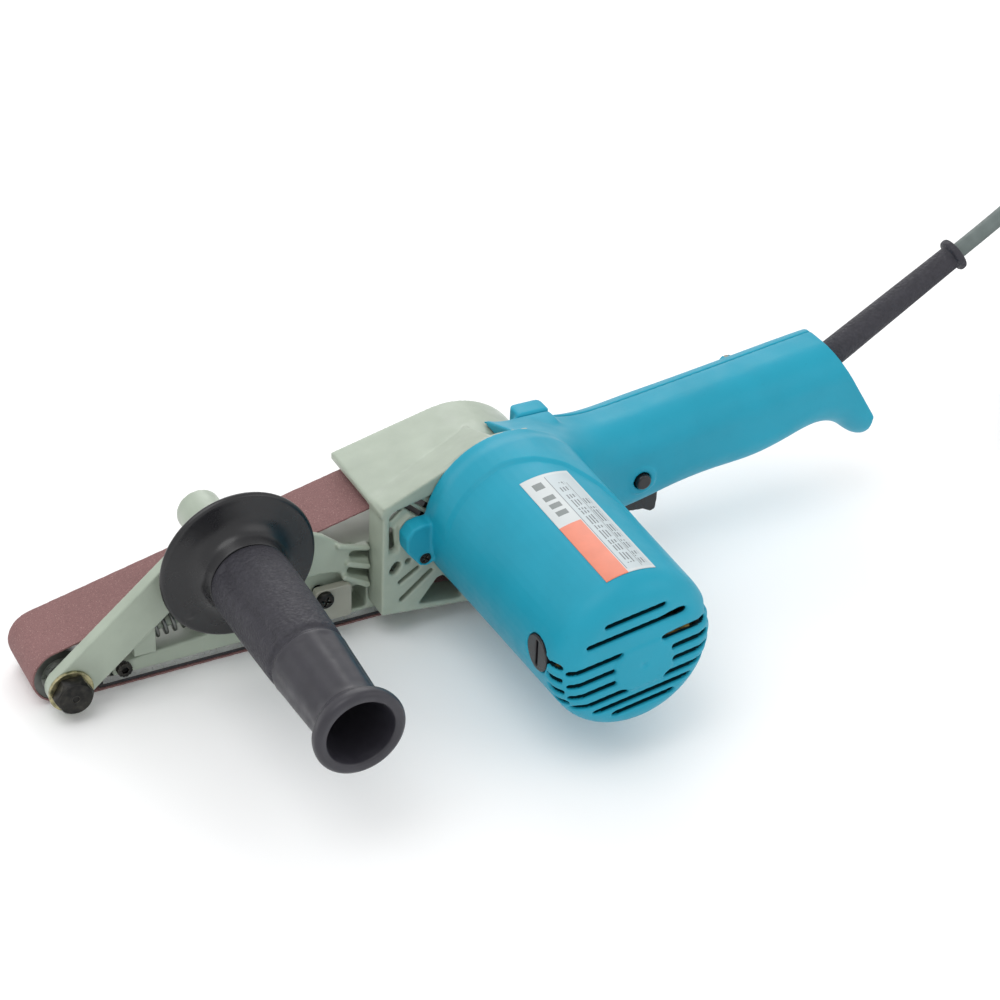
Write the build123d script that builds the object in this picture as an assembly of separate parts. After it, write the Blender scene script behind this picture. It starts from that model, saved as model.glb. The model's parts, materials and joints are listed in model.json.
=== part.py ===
from build123d import *
import math
import os

# Narrow-belt sander. Millimetres, +Z up. X runs from the nose to the handle, the motor lies along -Y.
# The model is laid out from the nose roller's axis and written out from the middle of the sanding face.
FACE_MIDDLE_X = 80.0

# Belt loop
BELT_WIDTH = 30.0
BELT_THICK = 0.8
BELT_EDGE = BELT_WIDTH / 2
IDLER_R = 11.1
IDLER_Z = IDLER_R + BELT_THICK
PULLEY_X = 178.0
PULLEY_Z = 35.0
PULLEY_R = 29.2
LIFT_X = 150.0

# Motor axis, one gear centre distance above the pulley axis
GEAR_MODULE = 1.0
PINION_TEETH = 6
GEAR_TEETH = 24
GEAR_CENTRES = GEAR_MODULE * (PINION_TEETH + GEAR_TEETH) / 2
MOTOR_DX = 1.5
MOTOR_X = PULLEY_X + MOTOR_DX
MOTOR_Z = PULLEY_Z + math.sqrt(GEAR_CENTRES**2 - MOTOR_DX**2)
BARREL_END_Y = -139.0
BARREL_FRONT_R = 35.4
BARREL_END_R = 33.2
BARREL_ROUND = 9.5
SHELL = 2.6
END_WALL = 3.4
BRUSH_Y = -121.0

# Vents in the barrel's end, as (offset above the axis, half length), and the short side ones
VENT_TILT = 8.5
VENT_HALF = 1.15
END_VENTS = (
    (19.3, 11.8), (13.2, 19.8), (3.9, 28.2), (-2.1, 28.4),
    (-7.7, 28.2), (-13.3, 27.0), (-17.9, 19.6), (-22.1, 12.2),
)
SIDE_VENTS = (6.4, 0.6, -5.0, -10.6)

# Castings
NEAR_Y = -30.0
PLATE_THICK = 3.6
FAR_Y = 18.0
COVER_X = 177.0
COVER_Z = 37.0
COVER_R = 35.2
COVER_THICK = 2.0
PILLAR_X = 127.0
ROOF_SLOPE = math.radians(13.1)

# Side grip
GRIP_X = 65.5
GRIP_Z = 56.5
GRIP_FLANGE_R = 31.5
GRIP_END_Y = -145.0

# Handle
HANDLE_Y = -10.0
HANDLE_HALF = 18.0
PARTING_Y = -4.0
REAR_X = 348.8
REAR_Z = 62.6
REAR_TILT = 32.0
HOOK_END_X = 359.6
HOLLOW_START_X = 206.0

# Tension slide
SLIDE_TILT = 6.6
SLIDE_TRAVEL = 8.0

# Fasteners, as (x, z) of axes along Y unless said otherwise
FRAME_SCREWS = ((133.4, 21.0), (142.8, 34.6))
EAR_SCREWS = ((142.2, 39.8),)
HANDLE_SCREWS = ((226.0, 34.0), (290.0, 42.0), (304.0, 67.0), (341.0, 52.0))
SHOE_SCREWS = (45.0, 85.0, 125.0)
TRACKING = (24.0, 9.0)
BRACKET_SCREW = (105.5, 21.5)

# Slide rod of the tension arm
ARM_NEAR_Y = -24.3
ARM_FAR_Y = -18.9
ROD_X = 36.0
ROD_Y = -9.0
ROD_Z = 20.6
ROD_R = 3.4

# Motor stack
CORE_Y0 = -102.0
CORE_Y1 = -70.0
STATOR_R = 30.2

# Roof, where it meets the round back
ROOF_END_X = COVER_X - COVER_R * math.sin(ROOF_SLOPE)
ROOF_END_Z = COVER_Z + COVER_R * math.cos(ROOF_SLOPE)

# Trigger pivot, on a line parallel to Y
PIVOT_X = 243.0
PIVOT_Z = 30.6
PIVOT_R = 2.4

# Lock button
LOCK_X = 244.4
LOCK_Z = 44.0
LOCK_R = 3.4

# Plug
PLUG_WIDE = 25.0
PLUG_HIGH = 17.0

# Supply cord
CORD_D = 7.0
GUARD_START = (347.0, -10.0, 71.1)
GUARD_TILT = 31.2
GUARD_LENGTH = 68.0
COIL_X = 512.0
COIL_Y = -38.0
COIL_MID_R = 39.0
COIL_TURNS_WIDE = 3
COIL_TURNS_HIGH = 3
GAP = 0.3
FIT = 0.04


def along_y(x, z, y0, y1, r, r_end=None):
    """Round bar or cone about a line parallel to Y, from y0 to y1."""
    length = abs(y1 - y0)
    lower = min(y0, y1)
    plane = Plane(origin=(x, lower, z), x_dir=(1, 0, 0), z_dir=(0, 1, 0))
    align = (Align.CENTER, Align.CENTER, Align.MIN)
    if r_end is None:
        return plane * Cylinder(r, length, align=align)
    low_r, high_r = (r, r_end) if y0 < y1 else (r_end, r)
    return plane * Cone(low_r, high_r, length, align=align)


def ring_y(x, z, y0, y1, r_out, r_in):
    return along_y(x, z, y0, y1, r_out) - along_y(x, z, min(y0, y1) - 1, max(y0, y1) + 1, r_in)


def block(x0, x1, y0, y1, z0, z1):
    size = (x1 - x0, y1 - y0, z1 - z0)
    return Pos((x0 + x1) / 2, (y0 + y1) / 2, (z0 + z1) / 2) * Box(*size)


def side_plate(points, y0, y1):
    """Plate between y0 and y1 whose outline is drawn in X and Z."""
    wire = Polyline(*[(x, y0, z) for x, z in points], close=True)
    return extrude(make_face(wire), amount=abs(y1 - y0), dir=(0, 1 if y1 > y0 else -1, 0))


def tilted(x, z, tilt):
    """Location at (x, 0, z) whose local X points up the tilt, in degrees."""
    return Pos(x, 0, z) * Rot(0, -tilt, 0)


def bar_between(x0, z0, x1, z1, half, y0, y1):
    """Flat bar with round ends from one point to another, between y0 and y1."""
    length = math.hypot(x1 - x0, z1 - z0)
    tilt = math.degrees(math.atan2(z1 - z0, x1 - x0))
    body = Pos(length / 2, (y0 + y1) / 2, 0) * Box(length, abs(y1 - y0), 2 * half)
    ends = along_y(0, 0, y0, y1, half) + along_y(length, 0, y0, y1, half)
    return tilted(x0, z0, tilt) * (body + ends)


# ---------------------------------------------------------------- belt and its rollers
def top_run_angle():
    dx, dz = PULLEY_X, PULLEY_Z - IDLER_Z
    return math.atan2(dz, dx) + math.asin((PULLEY_R - IDLER_R) / math.hypot(dx, dz))


def loop_face(extra):
    """Face bounded by the belt loop, grown by extra beyond the rollers' surfaces."""
    r0, r1 = IDLER_R + extra, PULLEY_R + extra
    top = top_run_angle()
    low_z = IDLER_Z - r0
    dx, dz = PULLEY_X - LIFT_X, PULLEY_Z - low_z
    rise = math.atan2(dz, dx) - math.asin(r1 / math.hypot(dx, dz))
    up = (-math.sin(top), math.cos(top))
    down = (math.sin(rise), -math.cos(rise))
    a = (r0 * up[0], 0, IDLER_Z + r0 * up[1])
    b = (PULLEY_X + r1 * up[0], 0, PULLEY_Z + r1 * up[1])
    c = (PULLEY_X + r1 * down[0], 0, PULLEY_Z + r1 * down[1])
    turn = (top - rise) / 2
    back = (PULLEY_X + r1 * math.cos(turn), 0, PULLEY_Z + r1 * math.sin(turn))
    wires = [
        Line(a, b),
        ThreePointArc(b, back, c),
        Line(c, (LIFT_X, 0, low_z)),
        Line((LIFT_X, 0, low_z), (0, 0, low_z)),
        ThreePointArc((0, 0, low_z), (-r0 * math.cos(top / 2), 0, IDLER_Z + r0 * math.sin(top / 2)), a),
    ]
    return make_face(Wire(wires))


def sanding_belt():
    outer = extrude(loop_face(BELT_THICK), amount=BELT_EDGE, dir=(0, 1, 0), both=True)
    inner = extrude(loop_face(0), amount=BELT_EDGE + 1, dir=(0, 1, 0), both=True)
    return outer - inner


def belt_length():
    middle = loop_face(BELT_THICK / 2)
    return sum(edge.length for edge in middle.edges())


def idler_roller():
    half = BELT_EDGE - 0.6
    body = along_y(0, IDLER_Z, -half, half, IDLER_R - 2 * FIT)
    body -= along_y(0, IDLER_Z, -half - 1, half + 1, 4.5)
    for side in (-1, 1):
        body -= along_y(0, IDLER_Z, side * half, side * (half - 5), 8.0)
    return body


def idler_bearings():
    return [ring_y(0, IDLER_Z, side * 14.3, side * 9.5, 8.0, 3.0 + FIT) for side in (-1, 1)]


def axle_bolt():
    head = Plane(origin=(0, -31.0, IDLER_Z), x_dir=(1, 0, 0), z_dir=(0, 1, 0))
    hexagon = extrude(head * RegularPolygon(7.9, 6), amount=5.2)
    hexagon &= along_y(0, IDLER_Z, -31.0, -25.8, 6.5, 10.0)
    hexagon -= along_y(0, IDLER_Z, -31.5, -30.4, 1.4)
    shank = along_y(0, IDLER_Z, -26, 14.6, 3.0)
    return hexagon + shank


def axle_washer():
    return ring_y(0, IDLER_Z, -25.8, -24.3, 8.8, 3.1)


def axle_spacer():
    return ring_y(0, IDLER_Z, -18.3, -14.6, 5.0, 3.1)


def pulley_hub():
    body = along_y(PULLEY_X, PULLEY_Z, -13.6, 13.6, PULLEY_R - 3.0)
    body -= along_y(PULLEY_X, PULLEY_Z, 4.0, 14, 22.5)
    body -= along_y(PULLEY_X, PULLEY_Z, -14, -8.0, 22.5)
    body += along_y(PULLEY_X, PULLEY_Z, -13.6, 8.0, 9.0)
    for k in range(5):
        turn = math.radians(72 * k + 36)
        x = PULLEY_X + 15.8 * math.cos(turn)
        z = PULLEY_Z + 15.8 * math.sin(turn)
        body -= along_y(x, z, -15, 15, 4.2)
    return body - along_y(PULLEY_X, PULLEY_Z, -15, 15, 5.0)


def pulley_tyre():
    return ring_y(PULLEY_X, PULLEY_Z, -14.4, 14.4, PULLEY_R - 2 * FIT, PULLEY_R - 3.0)


def pulley_screw():
    head = along_y(PULLEY_X, PULLEY_Z, 9.2, 12.6, 6.0)
    head -= Pos(PULLEY_X, 12.6, PULLEY_Z) * Box(8.6, 2.4, 1.5)
    head -= Pos(PULLEY_X, 12.6, PULLEY_Z) * Box(1.5, 2.4, 8.6)
    return head + along_y(PULLEY_X, PULLEY_Z, 0.2, 9.2, 2.5)


def pulley_washer():
    return ring_y(PULLEY_X, PULLEY_Z, 8.0, 9.2, 8.6, 2.6)


def spindle():
    body = along_y(PULLEY_X, PULLEY_Z, -44.1, 7.6, 5.0)
    body += along_y(PULLEY_X, PULLEY_Z, -28.0, -26.0, 6.6)
    body -= along_y(PULLEY_X, PULLEY_Z, 0, 8, 2.5)
    return body


def toothed(x, z, y0, y1, teeth, bore, phase):
    """Straight-toothed gear about Y, with trapezoid teeth that fill a little under half the pitch."""
    pitch_r = GEAR_MODULE * teeth / 2
    root_r = pitch_r - 1.15 * GEAR_MODULE
    tip_r = pitch_r + 0.85 * GEAR_MODULE
    gear = along_y(x, z, y0, y1, root_r)
    root_half = 0.62 * GEAR_MODULE
    tip_half = 0.28 * GEAR_MODULE
    base = root_r * 0.93
    for k in range(teeth):
        turn = phase + 360.0 * k / teeth
        outline = [(base, -root_half), (tip_r, -tip_half), (tip_r, tip_half), (base, root_half)]
        tooth = side_plate(outline, y0, y1)
        gear += Pos(x, 0, z) * (Rot(0, -turn, 0) * tooth)
    if bore > 0:
        gear -= along_y(x, z, y0 - 1, y1 + 1, bore)
    return gear


def mesh_direction():
    return math.degrees(math.atan2(MOTOR_Z - PULLEY_Z, MOTOR_X - PULLEY_X))


def drive_gear():
    return toothed(PULLEY_X, PULLEY_Z, -38.5, -30.5, GEAR_TEETH, 5.0, mesh_direction())


def spindle_bearings():
    near = ring_y(PULLEY_X, PULLEY_Z, -44.3, -39.6, 7.0, 5.0 + FIT)
    far = ring_y(PULLEY_X, PULLEY_Z, -25.8, -17.8, 13.0, 5.0 + FIT)
    return [near, far]


# ---------------------------------------------------------------- motor
def armature_shaft():
    body = along_y(MOTOR_X, MOTOR_Z, -136.0, -39.6, 4.0)
    half_turn = 180.0 / PINION_TEETH
    body += along_y(MOTOR_X, MOTOR_Z, -39.7, -38.4, 1.9)
    body += toothed(MOTOR_X, MOTOR_Z, -38.5, -30.6, PINION_TEETH, 0, mesh_direction() + 180 + half_turn)
    return body


def armature_core():
    body = along_y(MOTOR_X, MOTOR_Z, CORE_Y0, CORE_Y1, 17.0)
    for k in range(12):
        turn = math.radians(30 * k)
        x = MOTOR_X + 17 * math.cos(turn)
        z = MOTOR_Z + 17 * math.sin(turn)
        body -= along_y(x, z, CORE_Y0 - 1, CORE_Y1 + 1, 1.5)
    return body - along_y(MOTOR_X, MOTOR_Z, CORE_Y0 - 1, CORE_Y1 + 1, 4.0)


def armature_winding():
    near = ring_y(MOTOR_X, MOTOR_Z, CORE_Y0 - 7.5, CORE_Y0, 15.0, 6.5)
    far = ring_y(MOTOR_X, MOTOR_Z, CORE_Y1, CORE_Y1 + 5.5, 15.0, 6.5)
    return [near, far]


def commutator():
    body = ring_y(MOTOR_X, MOTOR_Z, BRUSH_Y - 6.5, BRUSH_Y + 9.5, 11.0, 4.0)
    groove = Pos(11.0, BRUSH_Y + 0.5, 0) * Box(1.6, 15, 0.5)
    for k in range(24):
        body -= Pos(MOTOR_X, 0, MOTOR_Z) * (Rot(0, -15.0 * k, 0) * groove)
    return body


def fan():
    body = ring_y(MOTOR_X, MOTOR_Z, -62.5, -61.0, 27.0, 4.0)
    body += ring_y(MOTOR_X, MOTOR_Z, -62.5, -53.5, 8.0, 4.0)
    blade = Pos(17.2, -57.8, 0) * Box(19.0, 7.4, 1.2)
    for k in range(12):
        body += Pos(MOTOR_X, 0, MOTOR_Z) * (Rot(0, -30.0 * k, 0) * blade)
    return body


def stator_core():
    body = ring_y(MOTOR_X, MOTOR_Z, CORE_Y0, CORE_Y1, STATOR_R, 23.0)
    middle = (CORE_Y0 + CORE_Y1) / 2
    for side in (-1, 1):
        pole = ring_y(MOTOR_X, MOTOR_Z, CORE_Y0, CORE_Y1, 23.5, 17.6)
        body += pole & (Pos(MOTOR_X, middle, MOTOR_Z + side * 20) * Box(26, 40, 20))
    return body


def field_coils():
    """Two coils, each with two legs beside a pole and two end turns past the core."""
    low, high = CORE_Y0 - 7.0, CORE_Y1 + 6.5
    middle = (low + high) / 2
    tube = ring_y(MOTOR_X, MOTOR_Z, low, high, 22.7, 18.3)
    coils = []
    for side in (-1, 1):
        frame = Pos(MOTOR_X - 15.6, middle, MOTOR_Z + side * 12) * Box(3.6, high - low, 11)
        frame += Pos(MOTOR_X + 15.6, middle, MOTOR_Z + side * 12) * Box(3.6, high - low, 11)
        frame += Pos(MOTOR_X, low + 3, MOTOR_Z + side * 18) * Box(34.8, 6, 22)
        frame += Pos(MOTOR_X, high - 2.8, MOTOR_Z + side * 18) * Box(34.8, 5.6, 22)
        coils.append(tube & frame)
    return coils


def armature_bearings():
    spans = ((-134.5, -128.5), (-51.5, -45.5))
    return [ring_y(MOTOR_X, MOTOR_Z, low, high, 9.5, 4.0 + FIT) for low, high in spans]


def bearing_plate():
    """Plate between motor and gears: a pocket for the spindle's bush, a boss for the armature's bearing."""
    body = along_y(MOTOR_X, MOTOR_Z, -45.3, -39.3, 31.6)
    body += along_y(MOTOR_X, MOTOR_Z, -51.6, -45.3, 12.0)
    body -= along_y(MOTOR_X, MOTOR_Z, -52.0, -45.5, 9.5)
    body -= along_y(MOTOR_X, MOTOR_Z, -46.0, -39.0, 4.6)
    body -= along_y(PULLEY_X, PULLEY_Z, -44.4, -39.0, 7.0)
    for k in (0, 1, 3, 4):
        turn = math.radians(60 * k - 10)
        body -= along_y(MOTOR_X + 24 * math.cos(turn), MOTOR_Z + 24 * math.sin(turn), -46, -39, 3.4)
    return body


def brush_blocks(half_y, inner, outer, half_z):
    """The same block on both sides of the motor axis, from inner to outer away from it."""
    y0, y1, z0, z1 = BRUSH_Y - half_y, BRUSH_Y + half_y, MOTOR_Z - half_z, MOTOR_Z + half_z
    left = block(MOTOR_X - outer, MOTOR_X - inner, y0, y1, z0, z1)
    right = block(MOTOR_X + inner, MOTOR_X + outer, y0, y1, z0, z1)
    return [left, right]


def carbon_brushes():
    return brush_blocks(4.5, 11.4, 20.0, 2.8)


def brush_holders():
    outer = brush_blocks(5.6, 13.0, 28.6, 4.6)
    inner = brush_blocks(4.7, 12.0, 29.6, 3.0)
    return [a - b for a, b in zip(outer, inner)]


def brush_springs():
    path = Helix(pitch=1.7, height=7.4, radius=2.0)
    wire = sweep(Plane(origin=path @ 0, z_dir=path % 0) * Circle(0.35), path=path)
    springs = []
    for side in (-1, 1):
        springs.append(Pos(MOTOR_X + side * 20.5, BRUSH_Y, MOTOR_Z) * (Rot(0, side * 90, 0) * wire))
    return springs


def brush_caps():
    caps = []
    for side in (-1, 1):
        plane = Plane(origin=(MOTOR_X + side * 28.8, BRUSH_Y, MOTOR_Z), z_dir=(side, 0, 0))
        cap = plane * Cylinder(7.2, 4.4, align=(Align.CENTER, Align.CENTER, Align.MIN))
        slot = Pos(MOTOR_X + side * 33.2, BRUSH_Y, MOTOR_Z) * Box(2.4, 1.7, 11.0)
        caps.append(cap - slot)
    return caps


def baffle_ring():
    return ring_y(MOTOR_X, MOTOR_Z, -68.0, -64.0, 31.2, 24.4)


# ---------------------------------------------------------------- castings
def roof_z(x):
    return ROOF_END_Z + (x - ROOF_END_X) * math.tan(ROOF_SLOPE)


def cover_shell(extra, y0, y1):
    """Solid under the roof and the round back, between y0 and y1, grown by extra."""
    r = COVER_R + extra
    angle = math.pi / 2 + ROOF_SLOPE
    top = (COVER_X + r * math.cos(angle), y0, COVER_Z + r * math.sin(angle))
    low = math.radians(-25)
    end = (COVER_X + r * math.cos(low), y0, COVER_Z + r * math.sin(low))
    middle = (angle + low) / 2
    mid = (COVER_X + r * math.cos(middle), y0, COVER_Z + r * math.sin(middle))
    front_z = roof_z(PILLAR_X) + extra / math.cos(ROOF_SLOPE)
    edges = [
        Line((PILLAR_X - 0.8 - extra, y0, front_z - 0.2), top),
        ThreePointArc(top, mid, end),
        Line(end, (PILLAR_X - 0.8 - extra, y0, end[2])),
        Line((PILLAR_X - 0.8 - extra, y0, end[2]), (PILLAR_X - 0.8 - extra, y0, front_z - 0.2)),
    ]
    return extrude(make_face(Wire(edges)), amount=y1 - y0, dir=(0, 1, 0))


def roof():
    """Sloping roof that runs into the round back over the pulley, with a lip along its far edge."""
    body = cover_shell(0, NEAR_Y, FAR_Y)
    inside = cover_shell(-COVER_THICK, NEAR_Y - 1, FAR_Y - 2.0)
    inside += cover_shell(-COVER_THICK - 3.5, NEAR_Y, FAR_Y + 1)
    inside += block(PILLAR_X - 5, PILLAR_X + 8, NEAR_Y - 1, FAR_Y + 1, 0, roof_z(PILLAR_X) - 3.6)
    inside += block(100, 206, NEAR_Y - 1, FAR_Y + 1, 0, 24)
    return body - inside


def shoulder_wedge():
    """Bevel that climbs from the roof's near edge to the motor housing."""
    front = Plane(origin=(PILLAR_X, 0, 0), x_dir=(0, 1, 0), z_dir=(1, 0, 0))
    rear = Plane(origin=(176, 0, 0), x_dir=(0, 1, 0), z_dir=(1, 0, 0))
    z0, z1 = roof_z(PILLAR_X), roof_z(176)
    low = Polyline((NEAR_Y, z0 - 3), (-16, z0 - 3), (-16, z0 - 1.1), (NEAR_Y, z0 + 0.7), close=True)
    high = Polyline((NEAR_Y, z1 - 3), (-2, z1 - 3), (-2, z1 - 0.3), (NEAR_Y, 83.2), close=True)
    return loft([make_face(front * low), make_face(rear * high)], ruled=True)


def roof_dish():
    """Shallow wedge off the roof's front, deepest at the fold where the bevel starts."""
    front = Plane(origin=(PILLAR_X - 3, 0, 0), x_dir=(0, 1, 0), z_dir=(1, 0, 0))
    rear = Plane(origin=(176, 0, 0), x_dir=(0, 1, 0), z_dir=(1, 0, 0))
    z0, z1 = roof_z(PILLAR_X - 3), roof_z(176) + 0.2
    low = Polyline((19, z0 - 0.2), (-16, z0 - 1.1), (-31, z0 - 1.1), (-31, 90), (19, 90), close=True)
    high = Polyline((19, z1), (-2, z1), (-31, z1), (-31, 90), (19, 90), close=True)
    return loft([make_face(front * low), make_face(rear * high)], ruled=True)


def near_plate():
    outline = [
        (PILLAR_X, 11.5), (PILLAR_X, 60.2), (173.8, 82.2), (190, 82.2), (205, 62),
        (211, 45), (209, 24), (198, 10), (182, 7.6), (164, 7.6),
    ]
    body = side_plate(outline, NEAR_Y, NEAR_Y + PLATE_THICK)
    return body + along_y(MOTOR_X, MOTOR_Z, NEAR_Y, NEAR_Y + PLATE_THICK, 33.0)


def lattice_pocket():
    """Shallow pocket in the plate's outer face, round the post that stands beside the near ear."""
    y1 = NEAR_Y + 1.7
    pocket = side_plate([
        (129.2, 40.0), (134.6, 41.0), (135.4, 47.5), (151, 47.5), (151, 66.6), (141.4, 68.8), (129.2, 57.0),
    ], NEAR_Y - 1, y1)
    post = side_plate([
        (133.8, 40), (133.8, 52.4), (138.4, 56.6), (142.6, 55.0), (152, 48.0), (152, 40),
    ], NEAR_Y - 1, y1 + 0.1)
    return pocket - post


def lattice_cuts():
    """Openings in the plate between the pillar and the motor flange."""
    y0, y1 = NEAR_Y - 1, NEAR_Y + PLATE_THICK + 1
    bars = [
        (146.8, 70.4, 150.4, 72.4, 1.2), (141.4, 66.8, 150.0, 61.6, 1.1), (139.0, 64.0, 147.4, 57.0, 1.2),
        (137.4, 60.4, 145.4, 53.2, 1.1), (130.8, 55.6, 137.0, 61.0, 0.9), (131.0, 50.6, 131.8, 42.0, 1.2),
        (132.0, 31.8, 133.4, 34.0, 1.8), (138.1, 34.8, 138.4, 35.1, 1.2), (134.8, 25.6, 142.6, 30.6, 0.9),
        (135.6, 17.0, 148.4, 27.6, 1.0),
    ]
    cuts = [bar_between(*bar, y0, y1) for bar in bars]
    triangle = side_plate([(142.4, 11.6), (151.4, 23.4), (154.0, 23.8), (162.6, 12.6), (162.4, 10.6)], y0, y1)
    return cuts + [fillet(triangle.edges().filter_by(Axis.Y), 0.9), lattice_pocket()]


def gear_housing():
    body = near_plate()
    for cut in lattice_cuts():
        body -= cut
    body += roof() - roof_dish() + shoulder_wedge()
    body += block(PILLAR_X, PILLAR_X + 3, NEAR_Y, -16.5, 11.5, 60.3)
    floor = side_plate([(PILLAR_X, 11.5), (164, 7.6), (164, 10.2), (PILLAR_X, 14.3)], NEAR_Y, -16.5)
    body += floor
    body += ring_y(MOTOR_X, MOTOR_Z, -39.2, NEAR_Y, 32.4, 28.4)
    body += along_y(PULLEY_X, PULLEY_Z, NEAR_Y + PLATE_THICK - 0.1, -15.8, 15.6)
    for x, z in FRAME_SCREWS:
        body += along_y(x, z, NEAR_Y + PLATE_THICK - 0.1, -15.9, 4.0)
    body -= along_y(PULLEY_X, PULLEY_Z, -40, -17.8, 13.0)
    body -= along_y(PULLEY_X, PULLEY_Z, -18, -15, 7.4)
    body -= along_y(MOTOR_X, MOTOR_Z, -41, -29.99, 5.4)
    for x, z in FRAME_SCREWS:
        body -= along_y(x, z, -25.0, -15, 2.2)
    for x, z in EAR_SCREWS:
        body -= along_y(x, z, -31, -27.0, 1.5)
    return body


def frame_arm():
    """Casting that reaches forward inside the belt and carries the shoe, the slide and the grip's boss."""
    web = side_plate([
        (20, 5.6), (146.5, 5.6), (146.5, 40.4), (118, 37.5), (59, 31.6), (59, 14.0), (33, 12.4), (20, 10.0),
    ], -15.7, 13.0)
    pocket = side_plate([(88, 12), (115.5, 12), (115.5, 34.4), (88, 31.6)], 4, 14)
    side = side_plate([
        (59, 44), (56.5, 52), (60, 66), (72, 66), (107, 48.6), (112.8, 43.8), (118, 39.6), (126.7, 39.4),
        (126.7, 19.0), (117, 23.6), (113.5, 29.0), (108, 30.2), (97.5, 30.6), (80, 26), (62, 27),
    ], -18.6, -15.6)
    body = web + side - pocket
    body -= block(117.6, 126.7, -16, -4, 7.4, 12.5) + block(117.6, 126.7, -16, 10, 12.4, 18.6)
    for recess in ((119.6, 36.2, 129, 33.8, 1.5), (119.0, 28.9, 129, 24.4, 1.8)):
        body -= bar_between(*recess, -19, -12.4)
    for ridge in ((117.4, 33.2, 125.4, 30, 1.3), (115.6, 27, 125.4, 21.2, 1.3), (113, 42.6, 125.2, 38.8, 1.1)):
        body += bar_between(*ridge, -20.6, -18.5)
    body += along_y(GRIP_X, GRIP_Z, NEAR_Y, 8.0, 9.0)
    body += along_y(GRIP_X, GRIP_Z, NEAR_Y, -15.6, 10.4)
    body -= along_y(GRIP_X, GRIP_Z, -31, -12, 5.0)
    body -= along_y(GRIP_X, GRIP_Z, -8, 9, 5.0)
    bore = Plane(origin=rod_point(22.0), z_dir=slide_direction())
    body -= bore * Cylinder(ROD_R + FIT, 45, align=(Align.CENTER, Align.CENTER, Align.MIN))
    for x, z in FRAME_SCREWS:
        body -= along_y(x, z, -16, 14, 2.2)
        body -= along_y(x, z, 8.4, 14, 4.1)
    for x in SHOE_SCREWS:
        body -= Pos(x, 0, 8) * Cylinder(1.7, 8)
    body -= along_y(*TRACKING, -16.5, -6, 1.8)
    body -= along_y(*BRACKET_SCREW, -19, -9, 1.9)
    return body


# ---------------------------------------------------------------- nose slide
def slide_direction():
    tilt = math.radians(SLIDE_TILT)
    return (math.cos(tilt), 0, math.sin(tilt))


def rod_point(distance):
    """Point on the slide rod's axis, measured from the arm's lug."""
    u = slide_direction()
    return (ROD_X + distance * u[0], ROD_Y, ROD_Z + distance * u[2])


def tension_arm():
    plate = bar_between(0, IDLER_Z, 48, IDLER_Z + 41.0, 8.6, ARM_NEAR_Y, ARM_FAR_Y)
    plate &= block(-20, 46.3, -40, 0, 0, 80)
    plate -= along_y(0, IDLER_Z, -30, -10, 3.0)
    lug = block(27.5, ROD_X + 0.5, ARM_FAR_Y - 0.5, -3.5, 15.2, 27)
    rod = Plane(origin=rod_point(-1.0), z_dir=slide_direction())
    rod = rod * Cylinder(ROD_R, 46, align=(Align.CENTER, Align.CENTER, Align.MIN))
    return plate + lug + rod


def tension_spring():
    path = Helix(pitch=3.6, height=19.4, radius=5.1)
    wire = sweep(Plane(origin=path @ 0, z_dir=path % 0) * Circle(0.8), path=path)
    return Plane(origin=rod_point(2.0), z_dir=slide_direction()) * wire


def tracking_screw():
    x, z = TRACKING
    head = along_y(x, z, -18.2, -15.8, 3.1)
    for k in range(12):
        turn = math.radians(30 * k)
        head -= along_y(x + 3.2 * math.cos(turn), z + 3.2 * math.sin(turn), -19, -15, 0.35)
    face = Plane(origin=(x, -18.3, z), x_dir=(1, 0, 0), z_dir=(0, 1, 0))
    socket = extrude(face * RegularPolygon(1.6, 6), 1.6)
    return head - socket + along_y(x, z, -15.9, -8, 1.8 - FIT)


# ---------------------------------------------------------------- shoe
def shoe_plate():
    body = block(16, 149, -14.4, 14.4, 2.4, 5.2)
    for x in SHOE_SCREWS:
        body -= Pos(x, 0, 4) * Cylinder(1.7, 8)
        body -= Pos(x, 0, 2.4) * Cone(3.4, 1.7, 1.8, align=(Align.CENTER, Align.CENTER, Align.MIN))
    return body


def platen_pad():
    return block(14.5, 149.5, -14.2, 14.2, BELT_THICK + 0.1, 2.4)


def shoe_screws():
    screws = []
    for x in SHOE_SCREWS:
        head = Pos(x, 0, 2.45) * Cone(3.3, 1.7, 1.7, align=(Align.CENTER, Align.CENTER, Align.MIN))
        screws.append(head + Pos(x, 0, 7.6) * Cylinder(1.7, 7.2))
    return screws


def shoe_bracket():
    body = block(102, 117.4, -22.4, -18.6, 10.4, 25.4)
    body -= along_y(*BRACKET_SCREW, -23, -18, 1.9)
    return fillet(body.edges().filter_by(Axis.Y), 1.6)


def bracket_screw():
    x, z = BRACKET_SCREW
    head = along_y(x, z, -24.8, -22.4, 3.6)
    head = fillet(head.edges().sort_by(Axis.Y)[0], 1.0)
    for turn in (20, 110):
        head -= Pos(x, -24.8, z) * (Rot(0, turn, 0) * Box(4.6, 2.2, 1.0))
    return head + along_y(x, z, -22.5, -10, 1.9)


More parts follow.
